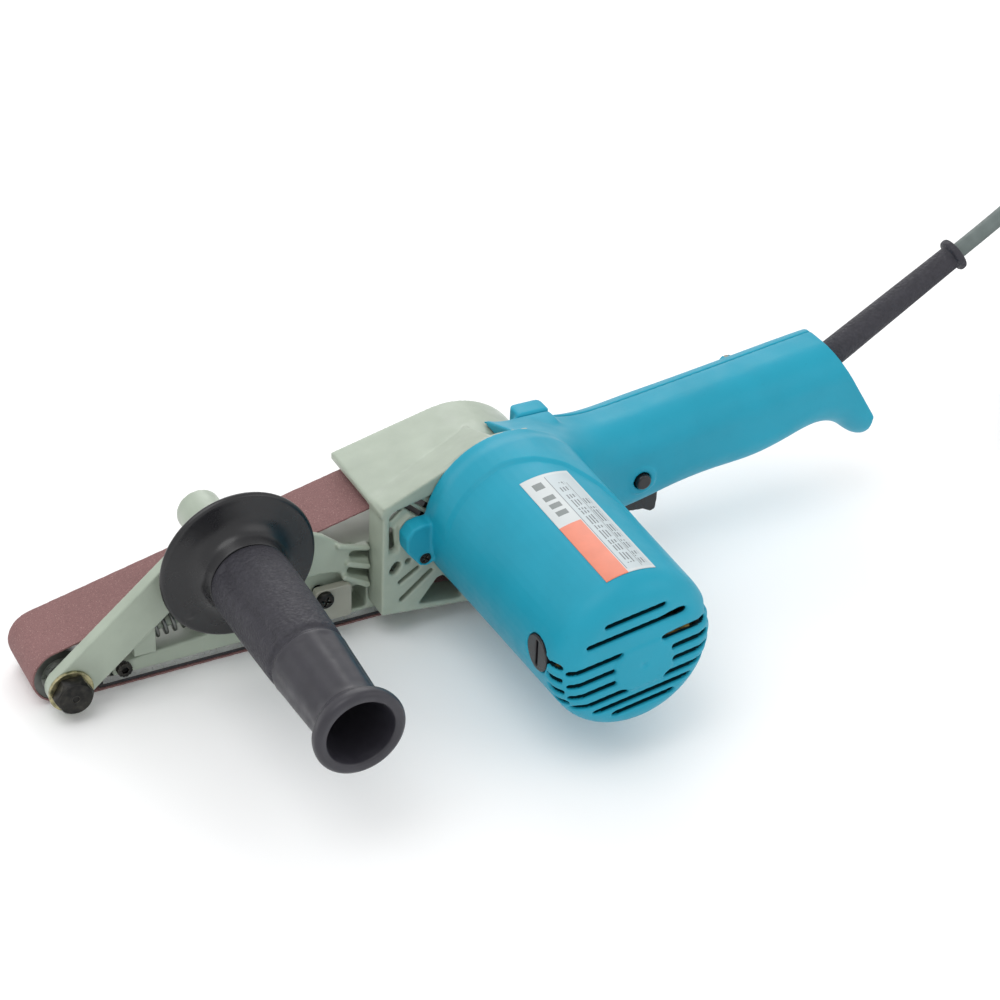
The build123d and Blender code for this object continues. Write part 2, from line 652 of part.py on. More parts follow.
# ---------------------------------------------------------------- side grip
def side_grip():
    """Rubber grip: flange-side neck, stippled front part, ribbed rear part and an open end ring."""
    sections = [
        (-44.0, 15.6), (-47.0, 15.9), (-96.0, 14.9), (-98.5, 14.5), (-99.4, 14.5), (-100.2, 14.9),
        (-134.5, 13.2), (-137.0, 13.4), (-138.4, 16.0), (-141.0, 17.2), (-143.6, 17.4), (GRIP_END_Y, 16.2),
    ]
    outline = [(GRIP_X, -44.0)] + [(GRIP_X + r, y) for y, r in sections] + [(GRIP_X, GRIP_END_Y)]
    flat = make_face(Polyline(*outline, close=True))
    body = revolve(flat, Axis((GRIP_X, 0, 0), (0, 1, 0)))
    body = Pos(0, 0, GRIP_Z) * body
    body -= along_y(GRIP_X, GRIP_Z, GRIP_END_Y - 1, -104, 12.4, 10.6)
    return body - along_y(GRIP_X, GRIP_Z, -110, -40, 5.0)


def grip_flange():
    sections = [
        (-31.6, GRIP_FLANGE_R - 0.8), (-33.0, GRIP_FLANGE_R), (-34.4, GRIP_FLANGE_R - 0.9), (-34.9, 27.0),
        (-36.0, 20.0), (-38.5, 16.6), (-42.5, 15.6), (-44.0, 15.4),
    ]
    outline = [(GRIP_X, NEAR_Y), (GRIP_X + 11.0, NEAR_Y), (GRIP_X + 22.0, -31.0)]
    outline += [(GRIP_X + r, y) for y, r in sections] + [(GRIP_X, -44.0)]
    flat = make_face(Polyline(*outline, close=True))
    body = Pos(0, 0, GRIP_Z) * revolve(flat, Axis((GRIP_X, 0, 0), (0, 1, 0)))
    return body - along_y(GRIP_X, GRIP_Z, -45, -29, 5.0)


def grip_stud():
    stud = along_y(GRIP_X, GRIP_Z, -104, -13, 5.0)
    flat = Plane(origin=(GRIP_X, -109.0, GRIP_Z), x_dir=(1, 0, 0), z_dir=(0, 1, 0))
    nut = extrude(flat * RegularPolygon(8.0, 6), 5.0)
    return stud + nut


# ---------------------------------------------------------------- motor housing and handle
def barrel(shrink, end_y, front_y):
    """Tapered barrel with a rounded end, made smaller by shrink."""
    r0, r1, rr = BARREL_FRONT_R - shrink, BARREL_END_R - shrink, BARREL_ROUND - shrink
    side = Line((MOTOR_X + r0, front_y), (MOTOR_X + r1, end_y + rr))
    corner = (MOTOR_X + r1 - rr * (1 - math.cos(math.pi / 4)), end_y + rr * (1 - math.sin(math.pi / 4)))
    bend = ThreePointArc(side @ 1, corner, (MOTOR_X + r1 - rr, end_y))
    close = Polyline(bend @ 1, (MOTOR_X, end_y), (MOTOR_X, front_y), side @ 0)
    face = make_face(Wire([side, bend] + close.edges()))
    return Pos(0, 0, MOTOR_Z) * revolve(face, Axis((MOTOR_X, 0, 0), (0, 1, 0)))


def shell_section(x, middle_y, low, high, width, roll, roundness, shrink):
    """Rounded rectangle across the handle, rolled about X by so many degrees."""
    plane = Plane(origin=(x, middle_y, (low + high) / 2), x_dir=(0, 1, 0), z_dir=(1, 0, 0))
    wide, tall = width - 2 * shrink, high - low - 2 * shrink
    return plane * (Rot(0, 0, roll) * RectangleRounded(wide, tall, min(wide, tall) * roundness))


def handle_solid(shrink):
    """Closed handle: it grows out of the barrel, swells under the fingers and hooks down at its rear end."""
    y = HANDLE_Y
    sections = [
        (184, -25.6, 30.1, 80.3, 43.0, -20, 0.22), (198, -24.2, 27.2, 77.0, 45.0, -15, 0.27),
        (212, -17.2, 24.6, 71.2, 42.5, -7, 0.34), (228, -11.6, 24.2, 67.4, 38.5, -2, 0.40),
        (248, y, 27.0, 68.6, 37.0, 0, 0.40), (266, y, 31.0, 70.9, 36.5, 0, 0.40),
        (285, y, 33.4, 73.4, 36.0, 0, 0.40), (303, y, 35.0, 75.8, 36.0, 0, 0.40),
        (319, y, 39.4, 78.0, 36.0, 0, 0.40), (333, y, 43.0, 79.8, 35.6, 0, 0.40),
        (349, y, 37.8, 81.8, 35.2, 0, 0.40), (366, y, 37.4, 84.0, 35.0, 0, 0.40),
    ]
    body = loft([shell_section(*section, shrink) for section in sections])
    cutter = tilted(REAR_X, REAR_Z, REAR_TILT) * (Pos(60 - shrink, HANDLE_Y, 0) * Box(120, 120, 160))
    return body - cutter - block(HOOK_END_X - shrink, 400, -60, 40, 0, 200)


def casting_space():
    """Room that the castings, the belt and the pulley take inside the blue shell."""
    space = cover_shell(GAP, NEAR_Y, 60)
    space += block(100, 213.0, NEAR_Y, 60, -10, 45)
    space += shoulder_wedge()
    space += along_y(MOTOR_X, MOTOR_Z, NEAR_Y, NEAR_Y + PLATE_THICK, 33.0)
    plate_outline = [(120, 0), (120, 62), (173.8, 82.3), (190, 82.3), (214, 50), (214, 0)]
    return space + side_plate(plate_outline, NEAR_Y, NEAR_Y + PLATE_THICK)


def ear_blocks(shrink):
    """Lugs on the shell's front rim that its screws pass through."""
    s = shrink
    near = side_plate([
        (134.0, 44.5), (133.6, 51.0), (136.4, 54.8), (141.0, 56.0), (150.0, 55.0), (150.0, 40.0),
        (143.0, 36.4), (139.8, 37.2),
    ], -37.8, NEAR_Y)
    near = fillet(near.edges().filter_by(Axis.Y), 1.2)
    top = block(199 + s, 213 - s, -14 + s, 5 - s, 60, 72.6 - s)
    top = fillet(top.edges().filter_by(Axis.Z), 2.0)
    return near, top


def vent_slots():
    """Slots across the barrel's end and short ones round its corner, all on the same slant."""
    place = tilted(MOTOR_X, MOTOR_Z, VENT_TILT)
    front, back = BARREL_END_Y - 1, BARREL_END_Y + 5
    slots = [bar_between(-half, offset, half, offset, VENT_HALF, front, back) for offset, half in END_VENTS]
    for offset in SIDE_VENTS:
        slots += [Pos(side * 32, BARREL_END_Y + 7.4, offset) * Box(9, 7.6, 2.6) for side in (-1, 1)]
    return [place * slot for slot in slots]


def end_hub():
    """Pad with cut corners over the rear bearing, with a dimple."""
    pad = block(-10.2, 13.2, BARREL_END_Y - 0.5, BARREL_END_Y + END_WALL, -13.6, 4.8)
    pad = chamfer(pad.edges().filter_by(Axis.Y), 4.4)
    pad -= along_y(1.5, -4.2, BARREL_END_Y - 2, BARREL_END_Y, 1.5)
    return tilted(MOTOR_X, MOTOR_Z, VENT_TILT) * pad


def motor_housing():
    near_ear, top_ear = ear_blocks(0)
    space = casting_space()
    half_space = block(100, 420, -200, PARTING_Y, -50, 200)
    outer = barrel(0, BARREL_END_Y, NEAR_Y) + near_ear
    outer += (handle_solid(0) + top_ear) & half_space
    hollow = barrel(SHELL, BARREL_END_Y + END_WALL, NEAR_Y + 1)
    hollow += handle_solid(SHELL) & block(HOLLOW_START_X, 420, -200, PARTING_Y + 1, -50, 200)
    hollow -= ring_y(MOTOR_X, MOTOR_Z, -137, -128.2, 12.0, 0.1)
    body = outer - hollow - space
    for slot in vent_slots():
        body -= slot
    body += end_hub()
    body -= along_y(MOTOR_X, MOTOR_Z, -134.6, -127, 9.5)
    body -= along_y(MOTOR_X, MOTOR_Z, -136.4, -127, 5.0)
    for side in (-1, 1):
        cutter = Plane(origin=(MOTOR_X + side * 26, BRUSH_Y, MOTOR_Z), z_dir=(side, 0, 0))
        body -= cutter * Cylinder(7.3, 14, align=(Align.CENTER, Align.CENTER, Align.MIN))
    for x, z in EAR_SCREWS:
        body -= along_y(x, z, -40, -29, 1.5)
        body -= along_y(x, z, -40, -35.4, 2.5)
    body -= trigger_window()
    body += ring_y(LOCK_X, LOCK_Z, HANDLE_Y - HANDLE_HALF - 1.2, HANDLE_Y - HANDLE_HALF + 2.4, 6.2, 1.0)
    body -= along_y(LOCK_X, LOCK_Z, -40, -20, LOCK_R + 0.5)
    body -= guard_bar(-12, 30, 6.5)
    for x, z in HANDLE_SCREWS:
        body -= along_y(x, z, -12, 0, 1.6)
    return body


def handle_cover():
    half_space = block(100, 420, PARTING_Y, 60, -50, 200)
    top_ear = ear_blocks(0)[1]
    outer = (handle_solid(0) + top_ear) & half_space
    inner = handle_solid(SHELL) & block(HOLLOW_START_X, 420, -200, 60, -50, 200)
    body = outer - inner - casting_space() - trigger_window() - guard_bar(-12, 30, 6.5)
    for x, z in HANDLE_SCREWS:
        post = along_y(x, z, PARTING_Y, HANDLE_Y + HANDLE_HALF - 0.2, 3.6)
        body += post
        body -= along_y(x, z, PARTING_Y - 1, HANDLE_Y + HANDLE_HALF + 2, 1.6)
        body -= along_y(x, z, HANDLE_Y + HANDLE_HALF - 3, HANDLE_Y + HANDLE_HALF + 2, 3.1)
    return body


def handle_screws():
    screws = []
    for x, z in HANDLE_SCREWS:
        face_y = HANDLE_Y + HANDLE_HALF - 0.6
        head = along_y(x, z, face_y - 2.4, face_y, 3.0)
        for turn in (45, 135):
            head -= Pos(x, face_y, z) * (Rot(0, turn, 0) * Box(4.2, 2.2, 0.9))
        screws.append(head + along_y(x, z, PARTING_Y - 7, face_y - 2.4, 1.6))
    return screws


def ear_screws():
    screws = []
    for x, z in EAR_SCREWS:
        head = along_y(x, z, -37.2, -35.4, 2.4)
        for turn in (30, 120):
            head -= Pos(x, -37.2, z) * (Rot(0, turn, 0) * Box(3.4, 1.6, 0.8))
        screws.append(head + along_y(x, z, -35.4, -27.0, 1.5))
    return screws


def frame_screws():
    """Socket screws from the arm's far side into the housing's boss."""
    screws = []
    for x, z in FRAME_SCREWS:
        head = along_y(x, z, 8.4, 12.6, 4.0)
        socket = Plane(origin=(x, 10.0, z), x_dir=(1, 0, 0), z_dir=(0, 1, 0)) * RegularPolygon(2.2, 6)
        screws.append(head - extrude(socket, 3.0) + along_y(x, z, -24.0, 8.5, 2.2))
    return screws


def rating_label():
    """Thin plate on the barrel's top."""
    sheet = ring_y(MOTOR_X, MOTOR_Z, -130.5, -63, 40, 0.1) & (barrel(-0.25, BARREL_END_Y, NEAR_Y))
    sheet -= barrel(0, BARREL_END_Y, NEAR_Y)
    return sheet & block(MOTOR_X - 11.4, MOTOR_X + 8.8, -130.5, -63, MOTOR_Z + 10, MOTOR_Z + 60)


# ---------------------------------------------------------------- controls
def trigger_window():
    return block(239.4, 265.4, -15.4, -4.0 - GAP, 10, 34)


def trigger():
    """Sprung paddle under the handle, hollowed for the finger, with a pivot at its front end."""
    paddle = side_plate([
        (PIVOT_X + 0.5, 33.0), (PIVOT_X - 2.0, PIVOT_Z), (PIVOT_X - 1.8, 23.0), (246.4, 19.6), (251.0, 19.0),
        (255.0, 18.6), (258.6, 16.6), (260.8, 17.4), (261.4, 22.6), (261.4, 33.0),
    ], -14.8, -4.8)
    paddle = fillet(paddle.edges().filter_by(Axis.Y).sort_by(Axis.Z)[:5], 0.8)
    return paddle + along_y(PIVOT_X, PIVOT_Z, -14.8, -4.8, PIVOT_R)


def switch_body():
    body = block(238, 268, -19.5, -0.5, 38.4, 55.0)
    return fillet(body.edges().filter_by(Axis.Y), 1.5)


def lock_button():
    cap = along_y(LOCK_X, LOCK_Z, -31.0, -22.0, LOCK_R)
    cap = fillet(cap.edges().sort_by(Axis.Y)[0], 1.0)
    return cap


# ---------------------------------------------------------------- supply cord
def guard_bar(start, end, r):
    tilt = math.radians(GUARD_TILT)
    u = (math.cos(tilt), 0, math.sin(tilt))
    origin = tuple(GUARD_START[i] + start * u[i] for i in range(3))
    align = (Align.CENTER, Align.CENTER, Align.MIN)
    return Plane(origin=origin, z_dir=u) * Cylinder(r, end - start, align=align)


def guard_point(distance):
    tilt = math.radians(GUARD_TILT)
    x, y, z = GUARD_START
    return (x + distance * math.cos(tilt), y, z + distance * math.sin(tilt))


def cord_guard():
    """Rubber sleeve, tapering from its anchor inside the handle to a bead at its end."""
    tilt = math.radians(GUARD_TILT)
    u = (math.cos(tilt), 0, math.sin(tilt))
    align = (Align.CENTER, Align.CENTER, Align.MIN)
    sleeve = Plane(origin=guard_point(-14), z_dir=u) * Cone(6.3, 5.2, GUARD_LENGTH + 14, align=align)
    anchor = guard_bar(-14, -11, 8.4)
    bead = guard_bar(GUARD_LENGTH - 3.4, GUARD_LENGTH, 7.4)
    bead = fillet(bead.edges().filter_by(GeomType.CIRCLE), 1.2)
    return sleeve + anchor + bead


def cord_route():
    start = guard_point(GUARD_LENGTH)
    return [
        start, (420.2, -10, 115.4), (441, -4, 122), (463, 10, 120), (481, 23, 104), (489, 30, 77),
        (488, 28, 49), (484, 19, 24), (478, 3, 8.5), (470, -15, 3.6), (466, -27, 3.6),
    ]


def route_radii(points):
    """One radius for each corner: 0.45 of the shorter run over the tangent of half the turn."""
    radii = []
    for a, b, c in zip(points, points[1:], points[2:]):
        before = Vector(*b) - Vector(*a)
        after = Vector(*c) - Vector(*b)
        half_turn = math.radians(before.get_angle(after)) / 2
        radii.append(0.45 * min(before.length, after.length) / math.tan(half_turn))
    return radii


def cord_tube():
    points = cord_route()
    radii = route_radii(points)
    path = FilletPolyline(*points, radius=radii)
    tube = sweep(Plane(origin=path @ 0, z_dir=path % 0) * Circle(CORD_D / 2), path=path)
    section = math.pi * CORD_D**2 / 4
    print("cord radii", [round(r, 1) for r in radii])
    print("cord tube volume over section x length", round(tube.volume / (section * path.length), 4))
    print("cord tube length", round(path.length, 1))
    return tube


def coil_size():
    half = COIL_TURNS_WIDE * CORD_D / 2
    return COIL_MID_R - half, COIL_MID_R + half, COIL_TURNS_HIGH * CORD_D


def cord_coil():
    inner, outer, height = coil_size()
    align = (Align.CENTER, Align.CENTER, Align.MIN)
    ring = Cylinder(outer, height, align=align) - Cylinder(inner, height, align=align)
    return Pos(COIL_X, COIL_Y, 0) * ring


def cord_tie():
    """Strap over the coil, on the side away from the plug."""
    inner, outer, height = coil_size()
    strap = block(-4, 4, inner - 1.2, outer + 1.2, 0, height + 1.2)
    strap -= block(-5, 5, inner - 0.02, outer + 0.02, -1, height)
    ring = Cylinder(outer, height * 3) - Cylinder(inner, height * 3)
    return Pos(COIL_X, COIL_Y, 0) * (strap - (ring & block(-60, 60, -60, 60, -1, height)))


def plug_body():
    y = COIL_Y - COIL_MID_R
    z = coil_size()[2] + PLUG_HIGH / 2
    body = Pos(COIL_X + 6, y, z) * Box(34, PLUG_WIDE, PLUG_HIGH)
    body = fillet(body.edges().filter_by(Axis.X), 4.0)
    body = fillet(body.faces().sort_by(Axis.X)[0].edges(), 3.0)
    boot = Plane(origin=(COIL_X - 27, y, z), z_dir=(1, 0, 0))
    return body + boot * Cone(4.6, 6.6, 17, align=(Align.CENTER, Align.CENTER, Align.MIN))


def plug_blades():
    y = COIL_Y - COIL_MID_R
    z = coil_size()[2] + PLUG_HIGH / 2
    return [Pos(COIL_X + 23 + 8.5, y + side * 6.35, z) * Box(17, 1.5, 6.35) for side in (-1, 1)]


NODES = {
    "sanding_belt": sanding_belt, "idler_roller": idler_roller, "idler_bearings": idler_bearings,
    "axle_bolt": axle_bolt, "axle_washer": axle_washer, "axle_spacer": axle_spacer,
    "tension_arm": tension_arm, "tension_spring": tension_spring, "tracking_screw": tracking_screw,
    "frame_arm": frame_arm, "frame_screws": frame_screws, "shoe_plate": shoe_plate,
    "platen_pad": platen_pad, "shoe_screws": shoe_screws, "shoe_bracket": shoe_bracket,
    "bracket_screw": bracket_screw, "drive_pulley": pulley_hub, "pulley_tyre": pulley_tyre,
    "pulley_washer": pulley_washer, "pulley_screw": pulley_screw, "spindle": spindle,
    "drive_gear": drive_gear, "spindle_bearings": spindle_bearings, "gear_housing": gear_housing,
    "bearing_plate": bearing_plate, "armature_shaft": armature_shaft, "armature_core": armature_core,
    "armature_winding": armature_winding, "commutator": commutator, "fan": fan,
    "armature_bearings": armature_bearings, "stator_core": stator_core, "field_coils": field_coils,
    "baffle_ring": baffle_ring, "brush_holders": brush_holders, "carbon_brushes": carbon_brushes,
    "brush_springs": brush_springs, "brush_caps": brush_caps, "motor_housing": motor_housing,
    "ear_screws": ear_screws, "rating_label": rating_label, "handle_cover": handle_cover,
    "handle_screws": handle_screws, "trigger": trigger, "switch_body": switch_body,
    "lock_button": lock_button, "grip_flange": grip_flange, "side_grip": side_grip,
    "grip_stud": grip_stud, "cord_guard": cord_guard, "cord_tube": cord_tube, "cord_coil": cord_coil,
    "cord_tie": cord_tie, "plug_body": plug_body, "plug_blades": plug_blades,
}


def solids_of(shape):
    """All solids of one shape or of a list of shapes."""
    pieces = shape if isinstance(shape, list) else [shape]
    return [solid for piece in pieces for solid in piece.solids()]


def write_nodes():
    os.makedirs("parts", exist_ok=True)
    for name, make in NODES.items():
        solids = [Pos(-FACE_MIDDLE_X, 0, 0) * solid for solid in solids_of(make())]
        shape = solids[0] if len(solids) == 1 else Compound(solids)
        export_step(shape, f"parts/{name}.step")


print("belt length", round(belt_length(), 1))
write_nodes()
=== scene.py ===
import json
import math

import bmesh
import bpy
import numpy as np
from mathutils import Matrix, Vector


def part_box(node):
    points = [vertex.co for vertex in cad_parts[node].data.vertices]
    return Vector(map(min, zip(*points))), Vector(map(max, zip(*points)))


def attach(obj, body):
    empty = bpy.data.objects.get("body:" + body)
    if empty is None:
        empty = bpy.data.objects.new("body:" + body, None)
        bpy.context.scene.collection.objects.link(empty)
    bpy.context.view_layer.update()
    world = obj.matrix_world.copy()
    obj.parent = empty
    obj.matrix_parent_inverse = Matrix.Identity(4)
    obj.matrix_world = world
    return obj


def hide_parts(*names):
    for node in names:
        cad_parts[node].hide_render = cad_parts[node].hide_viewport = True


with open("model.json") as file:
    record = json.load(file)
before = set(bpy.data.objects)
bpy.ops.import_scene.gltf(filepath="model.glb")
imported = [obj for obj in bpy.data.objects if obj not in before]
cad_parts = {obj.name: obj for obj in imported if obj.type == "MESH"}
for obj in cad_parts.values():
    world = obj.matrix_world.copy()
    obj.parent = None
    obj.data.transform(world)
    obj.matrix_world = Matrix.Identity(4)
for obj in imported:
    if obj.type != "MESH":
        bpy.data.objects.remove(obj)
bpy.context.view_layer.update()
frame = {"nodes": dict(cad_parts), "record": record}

SCENE = bpy.context.scene
NODES = frame["nodes"]
BODY_OF = {node: body for body, nodes in frame["record"]["behaviour"]["bodies"].items() for node in nodes}
SLOT_OF = {part["node"]: part["material_slot"] for part in frame["record"]["subparts"]}

# Lengths below are in millimetres from the nose roller's axis.
# The row frame is in metres and starts further back along X.
MM = 0.001
SHIFT_X = (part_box("idler_roller")[0].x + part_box("idler_roller")[1].x) / 2


def pt(x, y, z):
    """A point given in millimetres from the nose roller's axis, in the row frame."""
    return Vector((x * MM + SHIFT_X, y * MM, z * MM))


# ---------------------------------------------------------------------------------- camera and light
CAMERA_AT = (-215.19, -750.22, 594.87)
CAMERA_RIGHT = (0.88837, -0.45769, 0.03633)
CAMERA_DOWN = (-0.22555, -0.50397, -0.83375)
CAMERA_LENS = 89.49
CAMERA_SENSOR = 36.0
WORLD_STRENGTH = 0.9


def make_camera():
    data = bpy.data.cameras.new("camera")
    data.sensor_width = CAMERA_SENSOR
    data.lens = CAMERA_LENS
    data.clip_start = 0.01
    camera = bpy.data.objects.new("camera", data)
    right = Vector(CAMERA_RIGHT).normalized()
    up = -Vector(CAMERA_DOWN)
    up = (up - right * up.dot(right)).normalized()
    turned = Matrix((right, up, right.cross(up))).transposed().to_4x4()
    camera.matrix_world = Matrix.Translation(pt(*CAMERA_AT)) @ turned
    SCENE.collection.objects.link(camera)
    SCENE.camera = camera


def area_light(name, at, aim, size, power, colour=(1, 1, 1)):
    data = bpy.data.lights.new(name, "AREA")
    data.shape = "DISK"
    data.size = size
    data.energy = power
    data.color = colour
    light = bpy.data.objects.new(name, data)
    light.location = at
    light.rotation_euler = (Vector(aim) - Vector(at)).to_track_quat("-Z", "Y").to_euler()
    SCENE.collection.objects.link(light)


def make_light():
    world = bpy.data.worlds.new("studio")
    world.use_nodes = True
    world.node_tree.nodes["Background"].inputs["Color"].default_value = (1.0, 1.0, 1.0, 1)
    world.node_tree.nodes["Background"].inputs["Strength"].default_value = WORLD_STRENGTH
    SCENE.world = world
    aim = (0.08, -0.04, 0.04)
    area_light("key", (-0.55, -0.15, 1.5), aim, 1.3, 7.5)
    area_light("fill", (1.1, -1.1, 0.9), aim, 1.2, 3)
    area_light("rim", (0.5, 1.2, 0.9), aim, 1.0, 5)
    SCENE.view_settings.view_transform = "Standard"
    SCENE.view_settings.look = "None"


# ---------------------------------------------------------------------------------- materials
def srgb(red, green, blue):
    """Linear colour of a colour given as 0 to 255."""
    return tuple(((v / 255 + 0.055) / 1.055) ** 2.4 for v in (red, green, blue)) + (1.0,)


def shade(colour, factor):
    return tuple(min(1.0, v * factor) for v in colour[:3]) + (1.0,)


BLACK = (0, 0, 0, 1)
WHITE = (1, 1, 1, 1)


class Surface:
    """A material with one Principled shader, and short calls that lay detail on it, sized in millimetres."""

    def __init__(self, name, rough, metal=0.0, coat=0.0, specular=0.5):
        self.material = bpy.data.materials.new(name)
        self.material.use_nodes = True
        self.tree = self.material.node_tree
        self.shader = self.tree.nodes["Principled BSDF"]
        self.shader.inputs["Roughness"].default_value = rough
        self.shader.inputs["Metallic"].default_value = metal
        self.shader.inputs["Coat Weight"].default_value = coat
        self.shader.inputs["Coat Roughness"].default_value = 0.25
        self.shader.inputs["Specular IOR Level"].default_value = specular
        self.place = self.node("ShaderNodeTexCoord").outputs["Object"]
        self.normal = None

    def node(self, kind, **values):
        made = self.tree.nodes.new(kind)
        for name, value in values.items():
            setattr(made, name, value)
        return made

    def link(self, source, target):
        self.tree.links.new(source, target)

    def stretched(self, stretch):
        """Texture place, drawn out along the axes whose factor is small."""
        if stretch is None:
            return self.place
        mapping = self.node("ShaderNodeMapping")
        mapping.inputs["Scale"].default_value = stretch
        self.link(self.place, mapping.inputs["Vector"])
        return mapping.outputs["Vector"]

    def noise(self, size, detail=3.0, stretch=None, twist=0.0):
        made = self.node("ShaderNodeTexNoise")
        made.inputs["Scale"].default_value = 1000.0 / size
        made.inputs["Detail"].default_value = detail
        made.inputs["Distortion"].default_value = twist
        self.link(self.stretched(stretch), made.inputs["Vector"])
        return made.outputs["Fac"]

    def cells(self, size, feature="F1"):
        made = self.node("ShaderNodeTexVoronoi", feature=feature)
        made.inputs["Scale"].default_value = 1000.0 / size
        self.link(self.place, made.inputs["Vector"])
        return made.outputs["Distance"]

    def ramp(self, factor, stops):
        made = self.node("ShaderNodeValToRGB")
        ramp = made.color_ramp
        while len(ramp.elements) < len(stops):
            ramp.elements.new(0.5)
        for element, (position, colour) in zip(ramp.elements, stops):
            element.position = position
            element.color = colour
        self.link(factor, made.inputs["Fac"])
        return made.outputs["Color"]

    def math(self, operation, first, second):
        made = self.node("ShaderNodeMath", operation=operation)
        for socket, value in zip(made.inputs, (first, second)):
            if isinstance(value, (int, float)):
                socket.default_value = value
            else:
                self.link(value, socket)
        return made.outputs["Value"]

    def mix(self, factor, below, above):
        made = self.node("ShaderNodeMix", data_type="RGBA")
        for socket, value in ((made.inputs[6], below), (made.inputs[7], above)):
            if isinstance(value, tuple):
                socket.default_value = value
            else:
                self.link(value, socket)
        if isinstance(factor, (int, float)):
            made.inputs[0].default_value = factor
        else:
            self.link(factor, made.inputs[0])
        return made.outputs[2]

    def pointed(self, low, high):
        """1 on outward edges, 0 elsewhere."""
        geometry = self.node("ShaderNodeNewGeometry")
        return self.ramp(geometry.outputs["Pointiness"], [(low, BLACK), (high, WHITE)])

    def colour(self, source):
        self.link(source, self.shader.inputs["Base Color"])
        return self

    def mottle(self, base, spread, size, detail=3.0, stretch=None):
        """Base colour that drifts between a darker and a lighter shade."""
        field = self.noise(size, detail, stretch)
        return self.ramp(field, [(0.3, shade(base, 1 - spread)), (0.7, shade(base, 1 + spread))])

    def roughness(self, low, high, size, stretch=None):
        field = self.noise(size, 4.0, stretch)
        self.link(self.ramp(field, [(0.3, (low,) * 3 + (1,)), (0.7, (high,) * 3 + (1,))]),
                  self.shader.inputs["Roughness"])
        return self

    def bump(self, height, strength, depth):
        """Relief of that depth in millimetres, over any relief laid before."""
        made = self.node("ShaderNodeBump")
        made.inputs["Strength"].default_value = strength
        made.inputs["Distance"].default_value = depth * MM
        self.link(height, made.inputs["Height"])
        if self.normal is not None:
            self.link(self.normal, made.inputs["Normal"])
        self.normal = made.outputs["Normal"]
        self.link(self.normal, self.shader.inputs["Normal"])
        return self


TEAL = srgb(20, 146, 172)
CAST = srgb(158, 169, 154)
RUBBER = srgb(46, 45, 52)
GLOSS_BLACK = srgb(23, 23, 26)
GRIT = srgb(132, 98, 97)


def housing_plastic(name, colour):
    """Satin housing plastic: fine spark texture, slight cloudiness, edges rubbed a little paler."""
    s = Surface(name, 0.45, specular=0.3)
    base = s.mottle(colour, 0.05, 26)
    rubbed = s.mix(s.math("MULTIPLY", s.pointed(0.52, 0.6), 0.35), base, shade(colour, 1.45))
    flecks = s.math("GREATER_THAN", s.noise(1.6, 2.0), 0.69)
    s.colour(s.mix(s.math("MULTIPLY", flecks, 0.10), rubbed, shade(colour, 0.6)))
    s.roughness(0.4, 0.52, 9)
    s.bump(s.noise(0.42, 2.0), 0.32, 0.03)
    return s.bump(s.noise(11, 1.0), 0.12, 0.25).material


def casting_paint(name, colour):
    """Satin paint over a die casting: orange peel, soft waves, thin wear on the edges."""
    s = Surface(name, 0.42, coat=0.15)
    base = s.mottle(colour, 0.05, 14)
    worn = s.math("MULTIPLY", s.pointed(0.53, 0.62), s.ramp(s.noise(5), [(0.4, BLACK), (0.65, WHITE)]))
    grime = s.ramp(s.noise(9, 5.0), [(0.45, BLACK), (0.8, WHITE)])
    dusty = s.mix(s.math("MULTIPLY", grime, 0.22), base, shade(colour, 0.62))
    s.colour(s.mix(s.math("MULTIPLY", worn, 0.5), dusty, srgb(205, 205, 198)))
    s.roughness(0.32, 0.5, 6)
    s.bump(s.noise(0.9, 3.0), 0.35, 0.05)
    return s.bump(s.noise(6, 2.0), 0.2, 0.2).material


def grip_rubber():
    """Moulded rubber with a fine leathery stipple."""
    s = Surface("grip_rubber", 0.55, specular=0.4)
    s.colour(s.mottle(RUBBER, 0.16, 3.0, 4.0))
    s.roughness(0.5, 0.68, 2.2)
    s.bump(s.cells(1.15, "SMOOTH_F1"), 1.0, 0.4)
    return s.bump(s.noise(0.5, 2.0), 0.4, 0.08).material


def smooth_rubber():
    s = Surface("smooth_rubber", 0.42, specular=0.45)
    s.colour(s.mottle(shade(RUBBER, 0.95), 0.12, 7.0, 4.0))
    s.roughness(0.34, 0.5, 5)
    s.bump(s.noise(0.5, 3.0), 0.2, 0.03)
    return s.bump(s.noise(4.0, 2.0), 0.15, 0.12).material


def black_plastic():
    s = Surface("black_plastic", 0.3, specular=0.5)
    dust = s.math("GREATER_THAN", s.noise(0.7, 3.0), 0.74)
    s.colour(s.mix(s.math("MULTIPLY", dust, 0.25), s.mottle(GLOSS_BLACK, 0.1, 12.0), srgb(120, 120, 122)))
    s.roughness(0.24, 0.36, 7)
    return s.bump(s.noise(2.5, 3.0), 0.12, 0.05).material


def turned_steel(name, colour, rough, stretch=(1, 0.08, 1)):
    """Machined metal with fine marks drawn out one way."""
    s = Surface(name, rough, metal=1.0)
    s.colour(s.mottle(colour, 0.12, 4.0, 5.0))
    s.roughness(rough * 0.75, rough * 1.3, 1.2, stretch)
    return s.bump(s.noise(0.35, 3.0, stretch), 0.3, 0.02).material


def dark_steel():
    """Black-oxide steel with an oily, uneven bloom."""
    s = Surface("dark_steel", 0.36, metal=0.75)
    tones = [(0.4, srgb(30, 30, 30)), (0.62, srgb(50, 49, 46)), (0.75, srgb(72, 70, 64))]
    bloom = s.ramp(s.noise(3.2, 6.0), tones)
    s.colour(s.mix(s.math("MULTIPLY", s.pointed(0.52, 0.58), 0.7), bloom, srgb(150, 147, 134)))
    s.roughness(0.28, 0.5, 2.0)
    return s.bump(s.noise(0.6, 4.0), 0.35, 0.05).material


